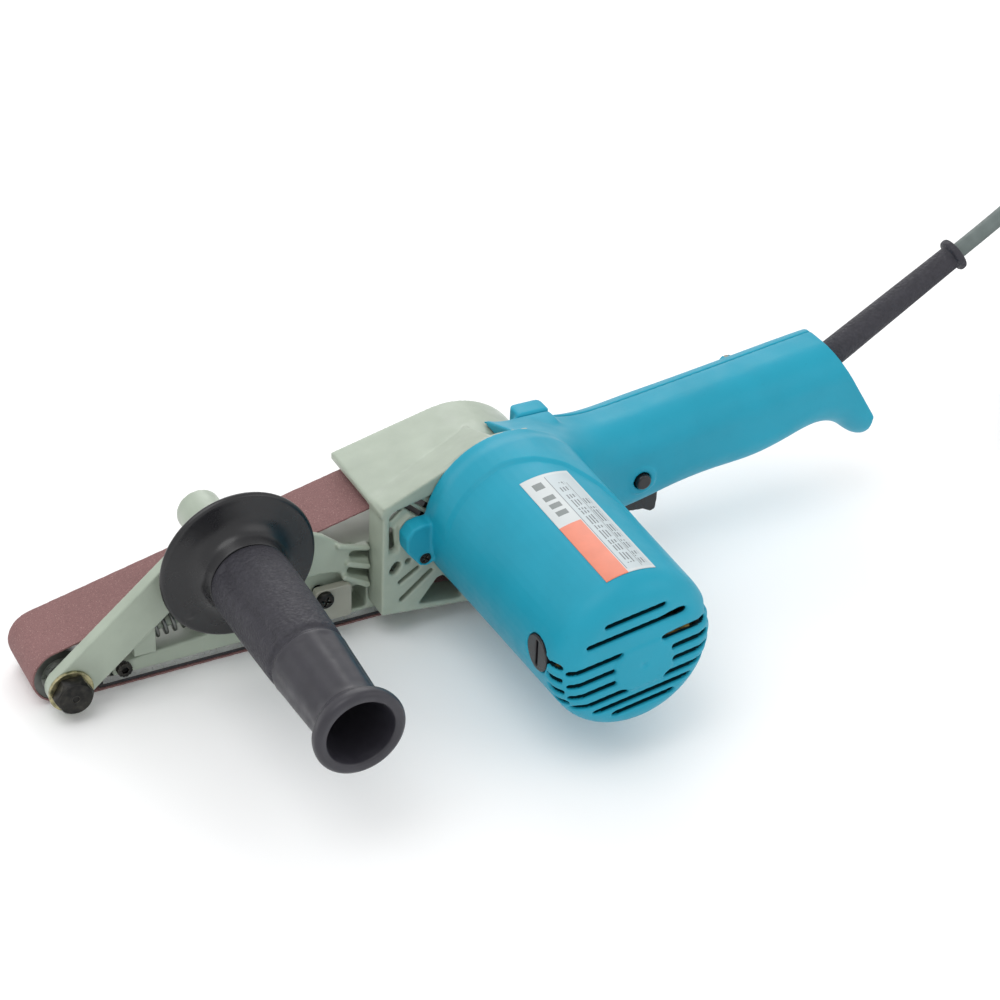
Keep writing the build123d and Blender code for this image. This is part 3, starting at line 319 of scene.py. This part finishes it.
def zinc_yellow():
    """Yellow-passivated washer."""
    s = Surface("zinc_yellow", 0.32, metal=0.9)
    s.colour(s.ramp(s.noise(2.4, 5.0), [(0.35, srgb(120, 118, 92)), (0.65, srgb(186, 178, 138))]))
    s.roughness(0.25, 0.42, 1.5)
    return s.bump(s.noise(0.5, 3.0), 0.3, 0.03).material


def belt_grit():
    """Abrasive face: dense grains in red-brown resin, with dark and pale specks."""
    s = Surface("belt_grit", 0.82, specular=0.3)
    grains = s.cells(0.55)
    base = s.mix(0.5, s.mottle(GRIT, 0.10, 0.9, 2.0), s.mottle(GRIT, 0.08, 16.0))
    dark = s.math("GREATER_THAN", s.noise(0.6, 2.0), 0.63)
    pale = s.math("GREATER_THAN", s.noise(0.5, 1.0), 0.66)
    speckled = s.mix(s.math("MULTIPLY", dark, 0.45), base, shade(GRIT, 0.55))
    s.colour(s.mix(s.math("MULTIPLY", pale, 0.35), speckled, srgb(196, 164, 158)))
    s.bump(grains, 0.7, 0.22)
    return s.bump(s.noise(0.3, 2.0), 0.5, 0.1).material


def belt_cloth(name, colour):
    """Woven backing with warp and weft."""
    s = Surface(name, 0.88, specular=0.2)
    s.colour(s.mottle(colour, 0.14, 1.4, 5.0))
    warp = s.noise(0.5, 2.0, (0.15, 1, 1))
    weft = s.noise(0.5, 2.0, (1, 0.15, 1))
    return s.bump(s.math("MAXIMUM", warp, weft), 0.6, 0.12).material


def graphite_cloth():
    s = Surface("pad_graphite", 0.5, specular=0.5)
    s.colour(s.mottle(srgb(52, 52, 54), 0.25, 1.1, 5.0))
    s.roughness(0.4, 0.65, 0.9)
    return s.bump(s.noise(0.6, 4.0), 0.6, 0.12).material


def stacked_sheets():
    """Laminated core: thin sheets seen edge on."""
    s = Surface("lamination", 0.45, metal=0.9)
    wave = s.node("ShaderNodeTexWave", bands_direction="Y")
    wave.inputs["Scale"].default_value = 320.0
    wave.inputs["Distortion"].default_value = 0.4
    s.link(s.place, wave.inputs["Vector"])
    s.colour(s.ramp(wave.outputs["Fac"], [(0.0, srgb(70, 72, 78)), (1.0, srgb(140, 143, 150))]))
    return s.bump(wave.outputs["Fac"], 0.6, 0.12).material


def wound_copper():
    """Lacquered wire lying side by side."""
    s = Surface("winding_copper", 0.35, metal=0.8, coat=0.5)
    wave = s.node("ShaderNodeTexWave", bands_direction="DIAGONAL")
    wave.inputs["Scale"].default_value = 260.0
    wave.inputs["Distortion"].default_value = 1.6
    s.link(s.place, wave.inputs["Vector"])
    s.colour(s.ramp(wave.outputs["Fac"], [(0.1, srgb(92, 44, 22)), (0.7, srgb(190, 108, 58))]))
    return s.bump(wave.outputs["Fac"], 0.8, 0.3).material


def pressed_carbon():
    s = Surface("carbon", 0.6)
    s.colour(s.mottle(srgb(40, 40, 42), 0.3, 0.6, 4.0))
    s.roughness(0.5, 0.7, 1.0)
    return s.bump(s.noise(0.3, 3.0), 0.4, 0.04).material


def cord_sheath():
    """Grey-green rubber sheath with a faint drawn grain."""
    s = Surface("cord_sheath", 0.5, specular=0.4)
    s.colour(s.mottle(srgb(96, 106, 104), 0.10, 5.0, 4.0))
    s.roughness(0.42, 0.6, 3.0)
    return s.bump(s.noise(0.7, 3.0), 0.3, 0.05).material


def plug_rubber():
    s = Surface("plug_rubber", 0.5, specular=0.4)
    s.colour(s.mottle(srgb(62, 66, 66), 0.12, 6.0, 4.0))
    s.roughness(0.4, 0.6, 3.0)
    return s.bump(s.noise(0.5, 3.0), 0.35, 0.05).material


def pale_floor():
    s = Surface("pale_floor", 0.75, specular=0.2)
    s.colour(s.mottle(srgb(250, 250, 250), 0.004, 160.0))
    return s.bump(s.noise(1.5, 2.0), 0.04, 0.05).material


def label_film():
    """Satin film printed with rules, blocks and one orange panel, and no lettering."""
    s = Surface("label_film", 0.35, coat=0.2)
    split = s.node("ShaderNodeSeparateXYZ")
    s.link(s.place, split.inputs[0])
    low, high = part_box("rating_label")
    across = s.math("DIVIDE", s.math("SUBTRACT", split.outputs["X"], low.x), high.x - low.x)
    along = s.math("DIVIDE", s.math("SUBTRACT", high.y, split.outputs["Y"]), high.y - low.y)

    def within(value, start, end):
        return s.math("MULTIPLY", s.math("GREATER_THAN", value, start), s.math("LESS_THAN", value, end))

    def panel(a0, a1, l0, l1):
        return s.math("MULTIPLY", within(across, a0, a1), within(along, l0, l1))

    def bar(a1, l0, l1):
        return panel(0.14, a1, l0, l1)

    paper = s.mottle(srgb(192, 198, 199), 0.02, 6.0)
    tint = s.mix(s.math("MULTIPLY", panel(0.46, 0.97, 0.02, 0.98), 0.55), paper, srgb(168, 184, 190))
    rows = s.math("GREATER_THAN", s.math("FRACT", s.math("MULTIPLY", across, 17.0), 0.0), 0.52)
    dashes = s.math("GREATER_THAN", s.noise(2.6, 1.0, (0.25, 1, 0.25)), 0.46)
    print_area = s.math("ADD", panel(0.53, 0.74, 0.10, 0.93), panel(0.80, 0.92, 0.28, 0.95))
    small_print = s.math("MULTIPLY", s.math("MULTIPLY", rows, dashes), print_area)
    printed = s.mix(s.math("MULTIPLY", small_print, 0.8), tint, srgb(74, 80, 84))
    rules = s.math("ADD", panel(0.455, 0.475, 0.03, 0.97), panel(0.765, 0.78, 0.12, 0.97))
    printed = s.mix(s.math("MULTIPLY", rules, 0.7), printed, srgb(90, 96, 100))
    bars = s.math("ADD", bar(0.36, 0.19, 0.235), bar(0.36, 0.265, 0.31))
    bars = s.math("ADD", bars, bar(0.36, 0.34, 0.385))
    bars = s.math("ADD", bars, bar(0.34, 0.06, 0.12))
    printed = s.mix(s.math("MULTIPLY", bars, 0.75), printed, srgb(60, 74, 72))
    orange = s.mottle(srgb(216, 124, 98), 0.04, 5.0)
    s.colour(s.mix(panel(-0.1, 0.44, 0.47, 1.1), printed, orange))
    s.roughness(0.3, 0.42, 8)
    return s.bump(s.noise(3.0, 2.0), 0.1, 0.04).material


MATERIALS = {
    "abrasive_belt": belt_grit(),
    "cast_green": casting_paint("cast_green", CAST),
    "bright_steel": turned_steel("bright_steel", srgb(172, 174, 172), 0.3),
    "dark_steel": dark_steel(),
    "pad_graphite": graphite_cloth(),
    "hub_alloy": turned_steel("hub_alloy", srgb(186, 188, 190), 0.4),
    "tyre_rubber": smooth_rubber(),
    "grip_rubber": grip_rubber(),
    "black_plastic": black_plastic(),
    "lamination": stacked_sheets(),
    "winding_copper": wound_copper(),
    "commutator_copper": turned_steel("commutator_copper", srgb(196, 128, 84), 0.3),
    "brass": turned_steel("brass", srgb(150, 126, 74), 0.35),
    "carbon": pressed_carbon(),
    "teal_plastic": housing_plastic("teal_plastic", TEAL),
    "label_film": label_film(),
    "cord_sheath": cord_sheath(),
}
# Painted shade: a near-black copy of the housing plastic for the barrel's inner faces, which are teal in the
# real shell.
SHADOWED_PLASTIC = housing_plastic("shadowed_plastic", shade(TEAL, 0.12))


# ---------------------------------------------------------------------------------- mesh tools
def new_object(name, data, material):
    made = bpy.data.objects.new(name, data)
    SCENE.collection.objects.link(made)
    data.materials.clear()
    data.materials.append(material)
    return made


def stands_for(piece, slot, *nodes):
    """The piece rides where its CAD nodes do and is shown in their place."""
    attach(piece, BODY_OF[nodes[0]])
    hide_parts(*nodes)
    return piece


def apply_modifiers(piece):
    graph = bpy.context.evaluated_depsgraph_get()
    mesh = bpy.data.meshes.new_from_object(piece.evaluated_get(graph))
    piece.modifiers.clear()
    piece.data = mesh


def copy_of(name, *nodes):
    """One new mesh object holding copies of these CAD nodes' meshes."""
    joined = bmesh.new()
    for node in nodes:
        joined.from_mesh(NODES[node].data)
    mesh = bpy.data.meshes.new(name)
    joined.to_mesh(mesh)
    joined.free()
    made = bpy.data.objects.new(name, mesh)
    SCENE.collection.objects.link(made)
    return made


def remesh(piece, voxel):
    tool = piece.modifiers.new("remesh", "REMESH")
    tool.mode = "VOXEL"
    tool.voxel_size = voxel * MM
    tool.use_smooth_shade = True
    apply_modifiers(piece)


def relax(piece, repeats, weights=None):
    """Rounds every edge a little more with each repeat, or only where the weights say."""
    tool = piece.modifiers.new("relax", "SMOOTH")
    tool.factor = 0.5
    tool.iterations = repeats
    if weights is not None:
        group = piece.vertex_groups.new(name="relax")
        for level in range(11):
            chosen = np.nonzero(np.rint(weights * 10) == level)[0]
            group.add([int(i) for i in chosen], level / 10, "REPLACE")
        tool.vertex_group = "relax"
    apply_modifiers(piece)


def smooth_shaded(piece):
    piece.data.polygons.foreach_set("use_smooth", [True] * len(piece.data.polygons))
    return piece


def points_of(piece):
    """The piece's points in metres, one row each."""
    flat = np.empty(len(piece.data.vertices) * 3)
    piece.data.vertices.foreach_get("co", flat)
    return flat.reshape(-1, 3)


def move_points(piece, points):
    """Puts the piece's points at these places, given in millimetres."""
    piece.data.vertices.foreach_set("co", (points * MM).ravel())
    piece.data.update()


def eased(value, start, end):
    """0 before start, 1 after end, and a soft change between them."""
    t = np.clip((value - start) / (end - start), 0, 1)
    return t * t * (3 - 2 * t)


def softened(name, node, voxel, repeats, material=None):
    """A copy of a CAD node with its hard edges rounded, shown in its place."""
    piece = copy_of(name, node)
    remesh(piece, voxel)
    relax(piece, repeats)
    piece.data.materials.clear()
    piece.data.materials.append(material or MATERIALS[SLOT_OF[node]])
    return stands_for(smooth_shaded(piece), SLOT_OF[node], node)


def lathe(name, profile, axis_x, axis_z, radius_at=None, segments=160):
    """Surface turned about a line parallel to Y. The profile is a closed list of (y, radius) in mm."""
    mesh = bmesh.new()
    rings = []
    for row, (y, radius) in enumerate(profile):
        ring = []
        for k in range(segments):
            turn = 2 * math.pi * k / segments
            r = radius if radius_at is None else radius_at(y, radius, turn)
            ring.append(mesh.verts.new(pt(axis_x + r * math.cos(turn), y, axis_z + r * math.sin(turn))))
        rings.append(ring)
    for near, far in zip(rings, rings[1:] + rings[:1]):
        for k in range(segments):
            n = (k + 1) % segments
            mesh.faces.new((near[k], near[n], far[n], far[k]))
    bmesh.ops.recalc_face_normals(mesh, faces=mesh.faces)
    data = bpy.data.meshes.new(name)
    mesh.to_mesh(data)
    mesh.free()
    made = bpy.data.objects.new(name, data)
    SCENE.collection.objects.link(made)
    return smooth_shaded(made)


def rounded_profile(corners, step=0.5):
    """Closed profile through corners given as (y, radius, rounding), with each corner cut by a small arc."""
    points = []
    count = len(corners)
    for i, (y, r, size) in enumerate(corners):
        here = Vector((y, r))
        before = Vector(corners[i - 1][:2])
        after = Vector(corners[(i + 1) % count][:2])
        reach_in = min(size, (before - here).length * 0.45)
        reach_out = min(size, (after - here).length * 0.45)
        start = here + (before - here).normalized() * reach_in
        end = here + (after - here).normalized() * reach_out
        for k in range(7):
            t = k / 6
            points.append(start * (1 - t) ** 2 + here * 2 * t * (1 - t) + end * t * t)
    dense = []
    for a, b in zip(points, points[1:] + points[:1]):
        parts = max(1, int((b - a).length / step))
        dense += [tuple(a.lerp(b, k / parts)) for k in range(parts)]
    return dense


# ---------------------------------------------------------------------------------- supply cord
CORD_D = 7.0
GUARD_START = (347.0, -10.0, 71.1)
GUARD_TILT = math.radians(31.2)
GUARD_LENGTH = 68.0
CORD_END_OF_GUARD = (
    GUARD_START[0] + GUARD_LENGTH * math.cos(GUARD_TILT),
    GUARD_START[1],
    GUARD_START[2] + GUARD_LENGTH * math.sin(GUARD_TILT),
)
CORD_ROUTE = [
    CORD_END_OF_GUARD, (420.2, -10, 115.4), (441, -4, 122), (463, 10, 120), (481, 23, 104), (489, 30, 77),
    (488, 28, 49), (484, 19, 24), (478, 3, 8.5), (470, -15, 3.6),
]
COIL_X = 512.0
COIL_Y = -38.0
COIL_RADII = (46.0, 39.0, 32.0)
COIL_LAYERS = (3.6, 10.6, 17.6)
POINTS_PER_TURN = 24
COIL_START = math.radians(166)
TURN = 2 * math.pi


def coil_point(turns, radius, z):
    """Control point of the coil after so many turns. The spline runs a little inside its points."""
    angle = COIL_START + TURN * turns
    outer = radius / math.cos(math.pi / POINTS_PER_TURN)
    return (COIL_X + outer * math.cos(angle), COIL_Y + outer * math.sin(angle), z)


def coil_points():
    """Nine turns: inwards on the floor, outwards over them, inwards on top. The last one stops short."""
    points = []
    laid = len(COIL_RADII)
    for layer, z in enumerate(COIL_LAYERS):
        radii = COIL_RADII if layer % 2 == 0 else COIL_RADII[::-1]
        top = layer == len(COIL_LAYERS) - 1
        for ring, radius in enumerate(radii):
            last_ring = ring == laid - 1
            following = radius if last_ring else radii[ring + 1]
            for k in range(POINTS_PER_TURN - 2 if top and last_ring else POINTS_PER_TURN):
                share = k / POINTS_PER_TURN
                r = radius + (following - radius) * eased(share, 0.5, 1.0)
                rise = 0.0
                if last_ring:
                    rise = 4.0 * eased(share, 0.6, 1.0) if top else CORD_D * eased(share, 0.25, 0.75)
                points.append(coil_point(layer * laid + ring + share, r, z + rise))
    return points


def lead_to_plug():
    """The lead climbs over the top turns, swings round outside them and runs into the plug."""
    points = [(487, -15.5, 24.2), (478.5, -20.4, 26.0)]
    for k in range(8):
        angle = math.radians(130 + 20 * k)
        points.append((485 + 28.4 * math.cos(angle), -49 + 28.2 * math.sin(angle), 27.0 + 0.36 * k))
    return points + [(493, -77, 29.5)]


CORD_POINTS = CORD_ROUTE + coil_points() + lead_to_plug()


def make_cord():
    data = bpy.data.curves.new("power_cord", "CURVE")
    data.dimensions = "3D"
    data.bevel_depth = CORD_D / 2 * MM
    data.bevel_resolution = 5
    data.resolution_u = 6
    spline = data.splines.new("NURBS")
    spline.points.add(len(CORD_POINTS) - 1)
    for point, place in zip(spline.points, CORD_POINTS):
        point.co = (*pt(*place), 1.0)
    spline.order_u = 3
    spline.use_endpoint_u = True
    cord = new_object("power_cord", data, MATERIALS["cord_sheath"])
    stands_for(cord, "cord_sheath", "cord_tube", "cord_coil")
    return cord


def cord_length(cord):
    """Length of the spline's own line."""
    bare = cord.data.copy()
    bare.bevel_depth = 0
    probe = bpy.data.objects.new("probe", bare)
    SCENE.collection.objects.link(probe)
    line = bpy.data.meshes.new_from_object(probe.evaluated_get(bpy.context.evaluated_depsgraph_get()))
    bpy.data.objects.remove(probe)
    ends = [edge.vertices for edge in line.edges]
    return sum((line.vertices[a].co - line.vertices[b].co).length for a, b in ends)


# ---------------------------------------------------------------------------------- belt
IDLER_Z = 11.9
PULLEY_X, PULLEY_Z = 178.0, 35.0
NOSE_R, REAR_R = 11.9, 30.0
BELT_WIDE = 30.0
BELT_THICK = 0.8
EDGE_WEAR = 0.12
SPLICE_X = 60.0
SPLICE_STEP = 0.12
LIFT_X = 150.0


def belt_line(step=1.5):
    """Points once round the belt's outer face, with the outward direction at each, in the XZ plane."""
    gap = math.hypot(PULLEY_X, PULLEY_Z - IDLER_Z)
    top = math.atan2(PULLEY_Z - IDLER_Z, PULLEY_X) + math.asin((REAR_R - NOSE_R) / gap)
    reach = math.hypot(PULLEY_X - LIFT_X, PULLEY_Z)
    lift = math.atan2(PULLEY_Z, PULLEY_X - LIFT_X) - math.asin(REAR_R / reach)
    up, down = math.pi / 2 + top, lift - math.pi / 2

    def on(cx, cz, radius, angle):
        return (cx + radius * math.cos(angle), cz + radius * math.sin(angle))

    line = []

    def straight(start, end, angle):
        parts = int(math.dist(start, end) / step)
        for k in range(parts):
            t = k / parts
            line.append((start[0] + (end[0] - start[0]) * t, start[1] + (end[1] - start[1]) * t, angle))

    def arc(cx, cz, radius, first, last):
        parts = int(radius * (last - first) / step)
        for k in range(parts):
            angle = first + (last - first) * k / parts
            line.append((*on(cx, cz, radius, angle), angle))

    straight((0.0, 0.0), (LIFT_X, 0.0), -math.pi / 2)
    straight((LIFT_X, 0.0), on(PULLEY_X, PULLEY_Z, REAR_R, down), down)
    arc(PULLEY_X, PULLEY_Z, REAR_R, down, up)
    straight(on(PULLEY_X, PULLEY_Z, REAR_R, up), on(0.0, IDLER_Z, NOSE_R, up), up)
    arc(0.0, IDLER_Z, NOSE_R, up, 1.5 * math.pi)
    return line


def belt_row(mesh, place, across, fray, depth):
    """Points across the belt at one place on its line, at this depth below the grit."""
    x, z, angle = place
    nx, nz = math.cos(angle), math.sin(angle)
    row = []
    for j, y in enumerate(across):
        at_edge = j in (0, len(across) - 1)
        edge = fray if at_edge else 0.0
        worn = EDGE_WEAR if at_edge and depth == 0.0 else 0.0
        on_splice = z < 0.01 and depth
        splice = SPLICE_STEP * math.exp(-((x - SPLICE_X - 0.5 * y) / 1.2) ** 2) if on_splice else 0.0
        d = depth + worn + splice
        row.append(mesh.verts.new(pt(x - nx * d, y - math.copysign(abs(edge), y), z - nz * d)))
    return row


def make_belt():
    """Abrasive outside, cloth inside, edges slightly frayed, and a slanted splice on the sanding run."""
    line = belt_line()
    across = np.linspace(-BELT_WIDE / 2, BELT_WIDE / 2, 21)
    mesh = bmesh.new()
    outer, inner = [], []
    for i, place in enumerate(line):
        fray = 0.10 * math.sin(i * 1.7) + 0.08 * math.sin(i * 0.61 + 1.3)
        outer.append(belt_row(mesh, place, across, fray, 0.0))
        inner.append(belt_row(mesh, place, across, fray, BELT_THICK))
    count, wide = len(line), len(across)
    for i in range(count):
        n = (i + 1) % count
        for j in range(wide - 1):
            grit = (outer[i][j], outer[n][j], outer[n][j + 1], outer[i][j + 1])
            cloth = (inner[i][j + 1], inner[n][j + 1], inner[n][j], inner[i][j])
            mesh.faces.new(grit).material_index = 0
            mesh.faces.new(cloth).material_index = 1
        for j in (0, wide - 1):
            mesh.faces.new((outer[i][j], outer[n][j], inner[n][j], inner[i][j])).material_index = 2
    bmesh.ops.recalc_face_normals(mesh, faces=mesh.faces)
    data = bpy.data.meshes.new("sanding_belt_loop")
    mesh.to_mesh(data)
    mesh.free()
    belt = new_object("sanding_belt_loop", data, MATERIALS["abrasive_belt"])
    data.materials.append(belt_cloth("belt_cloth", srgb(176, 142, 108)))
    data.materials.append(belt_cloth("belt_edge", srgb(222, 200, 168)))
    data.set_sharp_from_angle(angle=math.radians(50))
    return stands_for(smooth_shaded(belt), "abrasive_belt", "sanding_belt")


# ---------------------------------------------------------------------------------- side grip
GRIP_X = 65.5
GRIP_Z = 56.5
GROOVE_Y = -98.0
SEAM_ANGLE = 140
SEAM_DEPTH = 1.1
FLAT_DEPTH = 0.45
FLATS = 10
PIP_DEPTH = 0.7


def grip_relief(y, radius, turn):
    """Moulding seam along the stippled part, and shallow flats along the rear part."""
    if radius < 12.8 or y > -44.5 or y < -137:
        return radius
    if y > GROOVE_Y:
        off = (math.degrees(turn) - SEAM_ANGLE + 180) % 360 - 180
        seam = eased(-y, 45.5, 48.0) * (1 - eased(-y, 94.0, 96.5))
        return radius - SEAM_DEPTH * seam * math.exp(-((off / 7.0) ** 4))
    if y < -101:
        fade = eased(-y, 101, 104) * (1 - eased(-y, 131, 136))
        return radius - FLAT_DEPTH * (0.5 + 0.5 * math.cos(FLATS * turn)) * fade
    return radius


def make_grip():
    profile = rounded_profile([
        (-44.0, 5.1, 0.2), (-44.0, 15.2, 0.8), (-46.4, 16.0, 1.5), (-70.0, 15.8, 8.0),
        (-96.6, 15.0, 1.2), (-98.0, 13.9, 0.6), (-99.6, 13.9, 0.6), (-100.8, 14.9, 1.0),
        (-120.0, 14.0, 8.0), (-135.4, 13.2, 2.0), (-138.0, 15.6, 1.2), (-140.4, 17.1, 1.6),
        (-143.6, 17.4, 1.4), (-145.0, 15.8, 1.2), (-144.6, 13.0, 1.0), (-141.0, 12.3, 1.5),
        (-104.0, 10.6, 1.0), (-104.0, 5.1, 0.2),
    ])
    grip = lathe("rubber_grip", profile, GRIP_X, GRIP_Z, grip_relief)
    grip.data.materials.append(MATERIALS["grip_rubber"])
    grip.data.materials.append(MATERIALS["tyre_rubber"])
    for polygon in grip.data.polygons:
        if polygon.center.y < -99.0 * MM:
            polygon.material_index = 1
    return stands_for(grip, "grip_rubber", "side_grip")


def make_flange():
    """Guard disc with a rolled rim, a soft dome up to the grip and a small moulding pip."""
    profile = rounded_profile([
        (-30.1, 5.1, 0.2), (-30.1, 11.0, 1.5), (-31.0, 22.0, 6.0), (-31.4, 30.4, 0.8),
        (-32.9, 31.5, 1.2), (-34.4, 30.6, 0.9), (-34.7, 27.5, 3.0), (-36.0, 20.5, 5.0),
        (-38.5, 17.0, 2.6), (-42.5, 15.9, 1.4), (-43.9, 15.5, 0.5), (-43.9, 5.1, 0.2),
    ])
    flange = lathe("guard_disc", profile, GRIP_X, GRIP_Z, segments=200)
    pip = pt(GRIP_X - 20.5, 0, GRIP_Z - 16.5)
    for vertex in flange.data.vertices:
        away = math.hypot(vertex.co.x - pip.x, vertex.co.z - pip.z) / MM
        if vertex.co.y < -33.5 * MM:
            vertex.co.y -= PIP_DEPTH * MM * math.exp(-((away / 1.5) ** 2))
    flange.data.materials.append(MATERIALS["black_plastic"])
    return stands_for(flange, "black_plastic", "grip_flange")


# ---------------------------------------------------------------------------------- housing and arm
MOTOR_X, MOTOR_Z = 179.5, 49.925
BARREL_END_Y, BARREL_END_R, BARREL_ROUND = -139.0, 33.2, 9.5
BARREL_FRONT_Y, BARREL_FRONT_R = -36.0, 35.4
WALL_SEEN = 1.3
SHOULDER_LIFT = 1.1
SHOULDER_X = (110.0, 150.0, 168.0, 180.0, 190.0, 199.0, 204.0)
SHOULDER_Y = (-48.4, -48.5, -48.8, -52.6, -58.5, -71.0, -90.0)


def raise_shoulder(piece):
    """The shell is a little thicker in front of a line that sweeps back over the top of the barrel."""
    points = points_of(piece) / MM
    x = points[:, 0] - SHIFT_X / MM
    y, z = points[:, 1], points[:, 2]
    dx, dz = x - MOTOR_X, z - MOTOR_Z
    radius = np.hypot(dx, dz)
    line = np.interp(x, SHOULDER_X, SHOULDER_Y)
    lift = eased(y, line - 1.4, line + 0.8) * (1 - eased(y, -40.0, -33.0))
    lift *= eased(z, 52.0, 62.0) * eased(radius, 32.6, 33.6) * (1 - eased(radius, 37.5, 39.0))
    lift *= SHOULDER_LIFT * (1 - eased(x, 200.0, 206.0)) / np.maximum(radius, 1.0)
    points[:, 0] += dx * lift
    points[:, 2] += dz * lift
    move_points(piece, points)


def depth_in_barrel(points):
    """Depth in millimetres below the barrel's rounded outer surface."""
    radius = np.hypot(points[:, 0] - SHIFT_X / MM - MOTOR_X, points[:, 2] - MOTOR_Z)
    outer = np.interp(-points[:, 1], (-BARREL_FRONT_Y, -BARREL_END_Y), (BARREL_FRONT_R, BARREL_END_R))
    past_side = radius - (outer - BARREL_ROUND)
    past_end = (BARREL_END_Y + BARREL_ROUND) - points[:, 1]
    corner = np.hypot(np.maximum(past_side, 0), np.maximum(past_end, 0))
    return BARREL_ROUND - corner - np.minimum(np.maximum(past_side, past_end), 0)


def paint_shade_inside(piece):
    """Painted shade: a near-black second material on the barrel's inner faces and deep in its slots, where
    the real shell is teal but gets little light.
    """
    centres = np.empty(len(piece.data.polygons) * 3)
    piece.data.polygons.foreach_get("center", centres)
    centres = centres.reshape(-1, 3) / MM
    inner = (centres[:, 1] < -40.0) & (depth_in_barrel(centres) > WALL_SEEN)
    piece.data.polygons.foreach_set("material_index", inner.astype(np.int32))


def neck_share(piece):
    """1 where the handle grows out of the barrel, easing to 0 round it."""
    points = points_of(piece) / MM
    x, z = points[:, 0] - SHIFT_X / MM, points[:, 2]
    return eased(x, 186, 196) * (1 - eased(x, 218, 236)) * eased(z, 50, 62)


def make_housing():
    """Near half with a smoothed neck, a raised shoulder and painted shade on its inner faces, and the plain
    far half.
    """
    shell = copy_of("housing_near_half", "motor_housing")
    remesh(shell, 0.55)
    relax(shell, 8)
    relax(shell, 76, neck_share(shell))
    raise_shoulder(shell)
    shell.data.materials.clear()
    shell.data.materials.append(MATERIALS["teal_plastic"])
    shell.data.materials.append(SHADOWED_PLASTIC)
    paint_shade_inside(shell)
    stands_for(smooth_shaded(shell), "teal_plastic", "motor_housing")
    softened("housing_far_half", "handle_cover", 0.7, 8)


ROD_START = (36.0, -9.0, 20.6)
ROD_TILT = math.radians(6.6)
ROD_REACH = 4.2
ROD_PLAY = 0.35


def thin_rod(piece):
    """Gives the nose arm's slide rod a little play in its bore."""
    points = points_of(piece) / MM
    y = points[:, 1] - ROD_START[1]
    x, z = points[:, 0] - SHIFT_X / MM - ROD_START[0], points[:, 2] - ROD_START[2]
    along = x * math.cos(ROD_TILT) + z * math.sin(ROD_TILT)
    across = z * math.cos(ROD_TILT) - x * math.sin(ROD_TILT)
    radius = np.hypot(y, across)
    on_rod = (radius < ROD_REACH) & (along > 1.0)
    pull = on_rod * ROD_PLAY * eased(along, 1.0, 3.0) / np.maximum(radius, 1.0)
    points[:, 0] += across * math.sin(ROD_TILT) * pull
    points[:, 1] -= y * pull
    points[:, 2] -= across * math.cos(ROD_TILT) * pull
    move_points(piece, points)


def make_floor():
    half = 4
    mesh = bpy.data.meshes.new("floor")
    corners = [(-half, -half, 0), (half, -half, 0), (half, half, 0), (-half, half, 0)]
    mesh.from_pydata(corners, [], [(0, 1, 2, 3)])
    return new_object("floor", mesh, pale_floor())


# ---------------------------------------------------------------------------------- build
make_camera()
make_light()
for node_name, cad_node in NODES.items():
    cad_node.data.materials.clear()
    cad_node.data.materials.append(MATERIALS[SLOT_OF[node_name]])

worn_steel = turned_steel("worn_steel", srgb(112, 114, 112), 0.38)
for node_name in ("idler_roller", "tension_spring"):
    NODES[node_name].data.materials[0] = worn_steel

make_belt()
make_grip()
make_flange()
make_housing()
softened("gear_case", "gear_housing", 0.55, 7)
softened("frame_casting", "frame_arm", 0.55, 7)
thin_rod(softened("nose_arm", "tension_arm", 0.4, 6))
softened("shoe_block", "shoe_bracket", 0.25, 6, casting_paint("block_paint", srgb(146, 146, 134)))
softened("nose_bolt", "axle_bolt", 0.15, 3)
softened("nose_washer", "axle_washer", 0.15, 4, zinc_yellow())
softened("steering_screw", "tracking_screw", 0.12, 4)
softened("block_bolt", "bracket_screw", 0.16, 4)
softened("finger_trigger", "trigger", 0.3, 8)
softened("lock_pin", "lock_button", 0.2, 5)
softened("cord_sleeve", "cord_guard", 0.35, 6)
softened("brush_plugs", "brush_caps", 0.22, 4)
softened("ear_bolt", "ear_screws", 0.15, 4)
power_cord = make_cord()
plug = softened("plug_shell", "plug_body", 0.35, 10, plug_rubber())
tie = softened("hook_tie", "cord_tie", 0.35, 5)

make_floor()

print("cord length", round(cord_length(power_cord), 3))
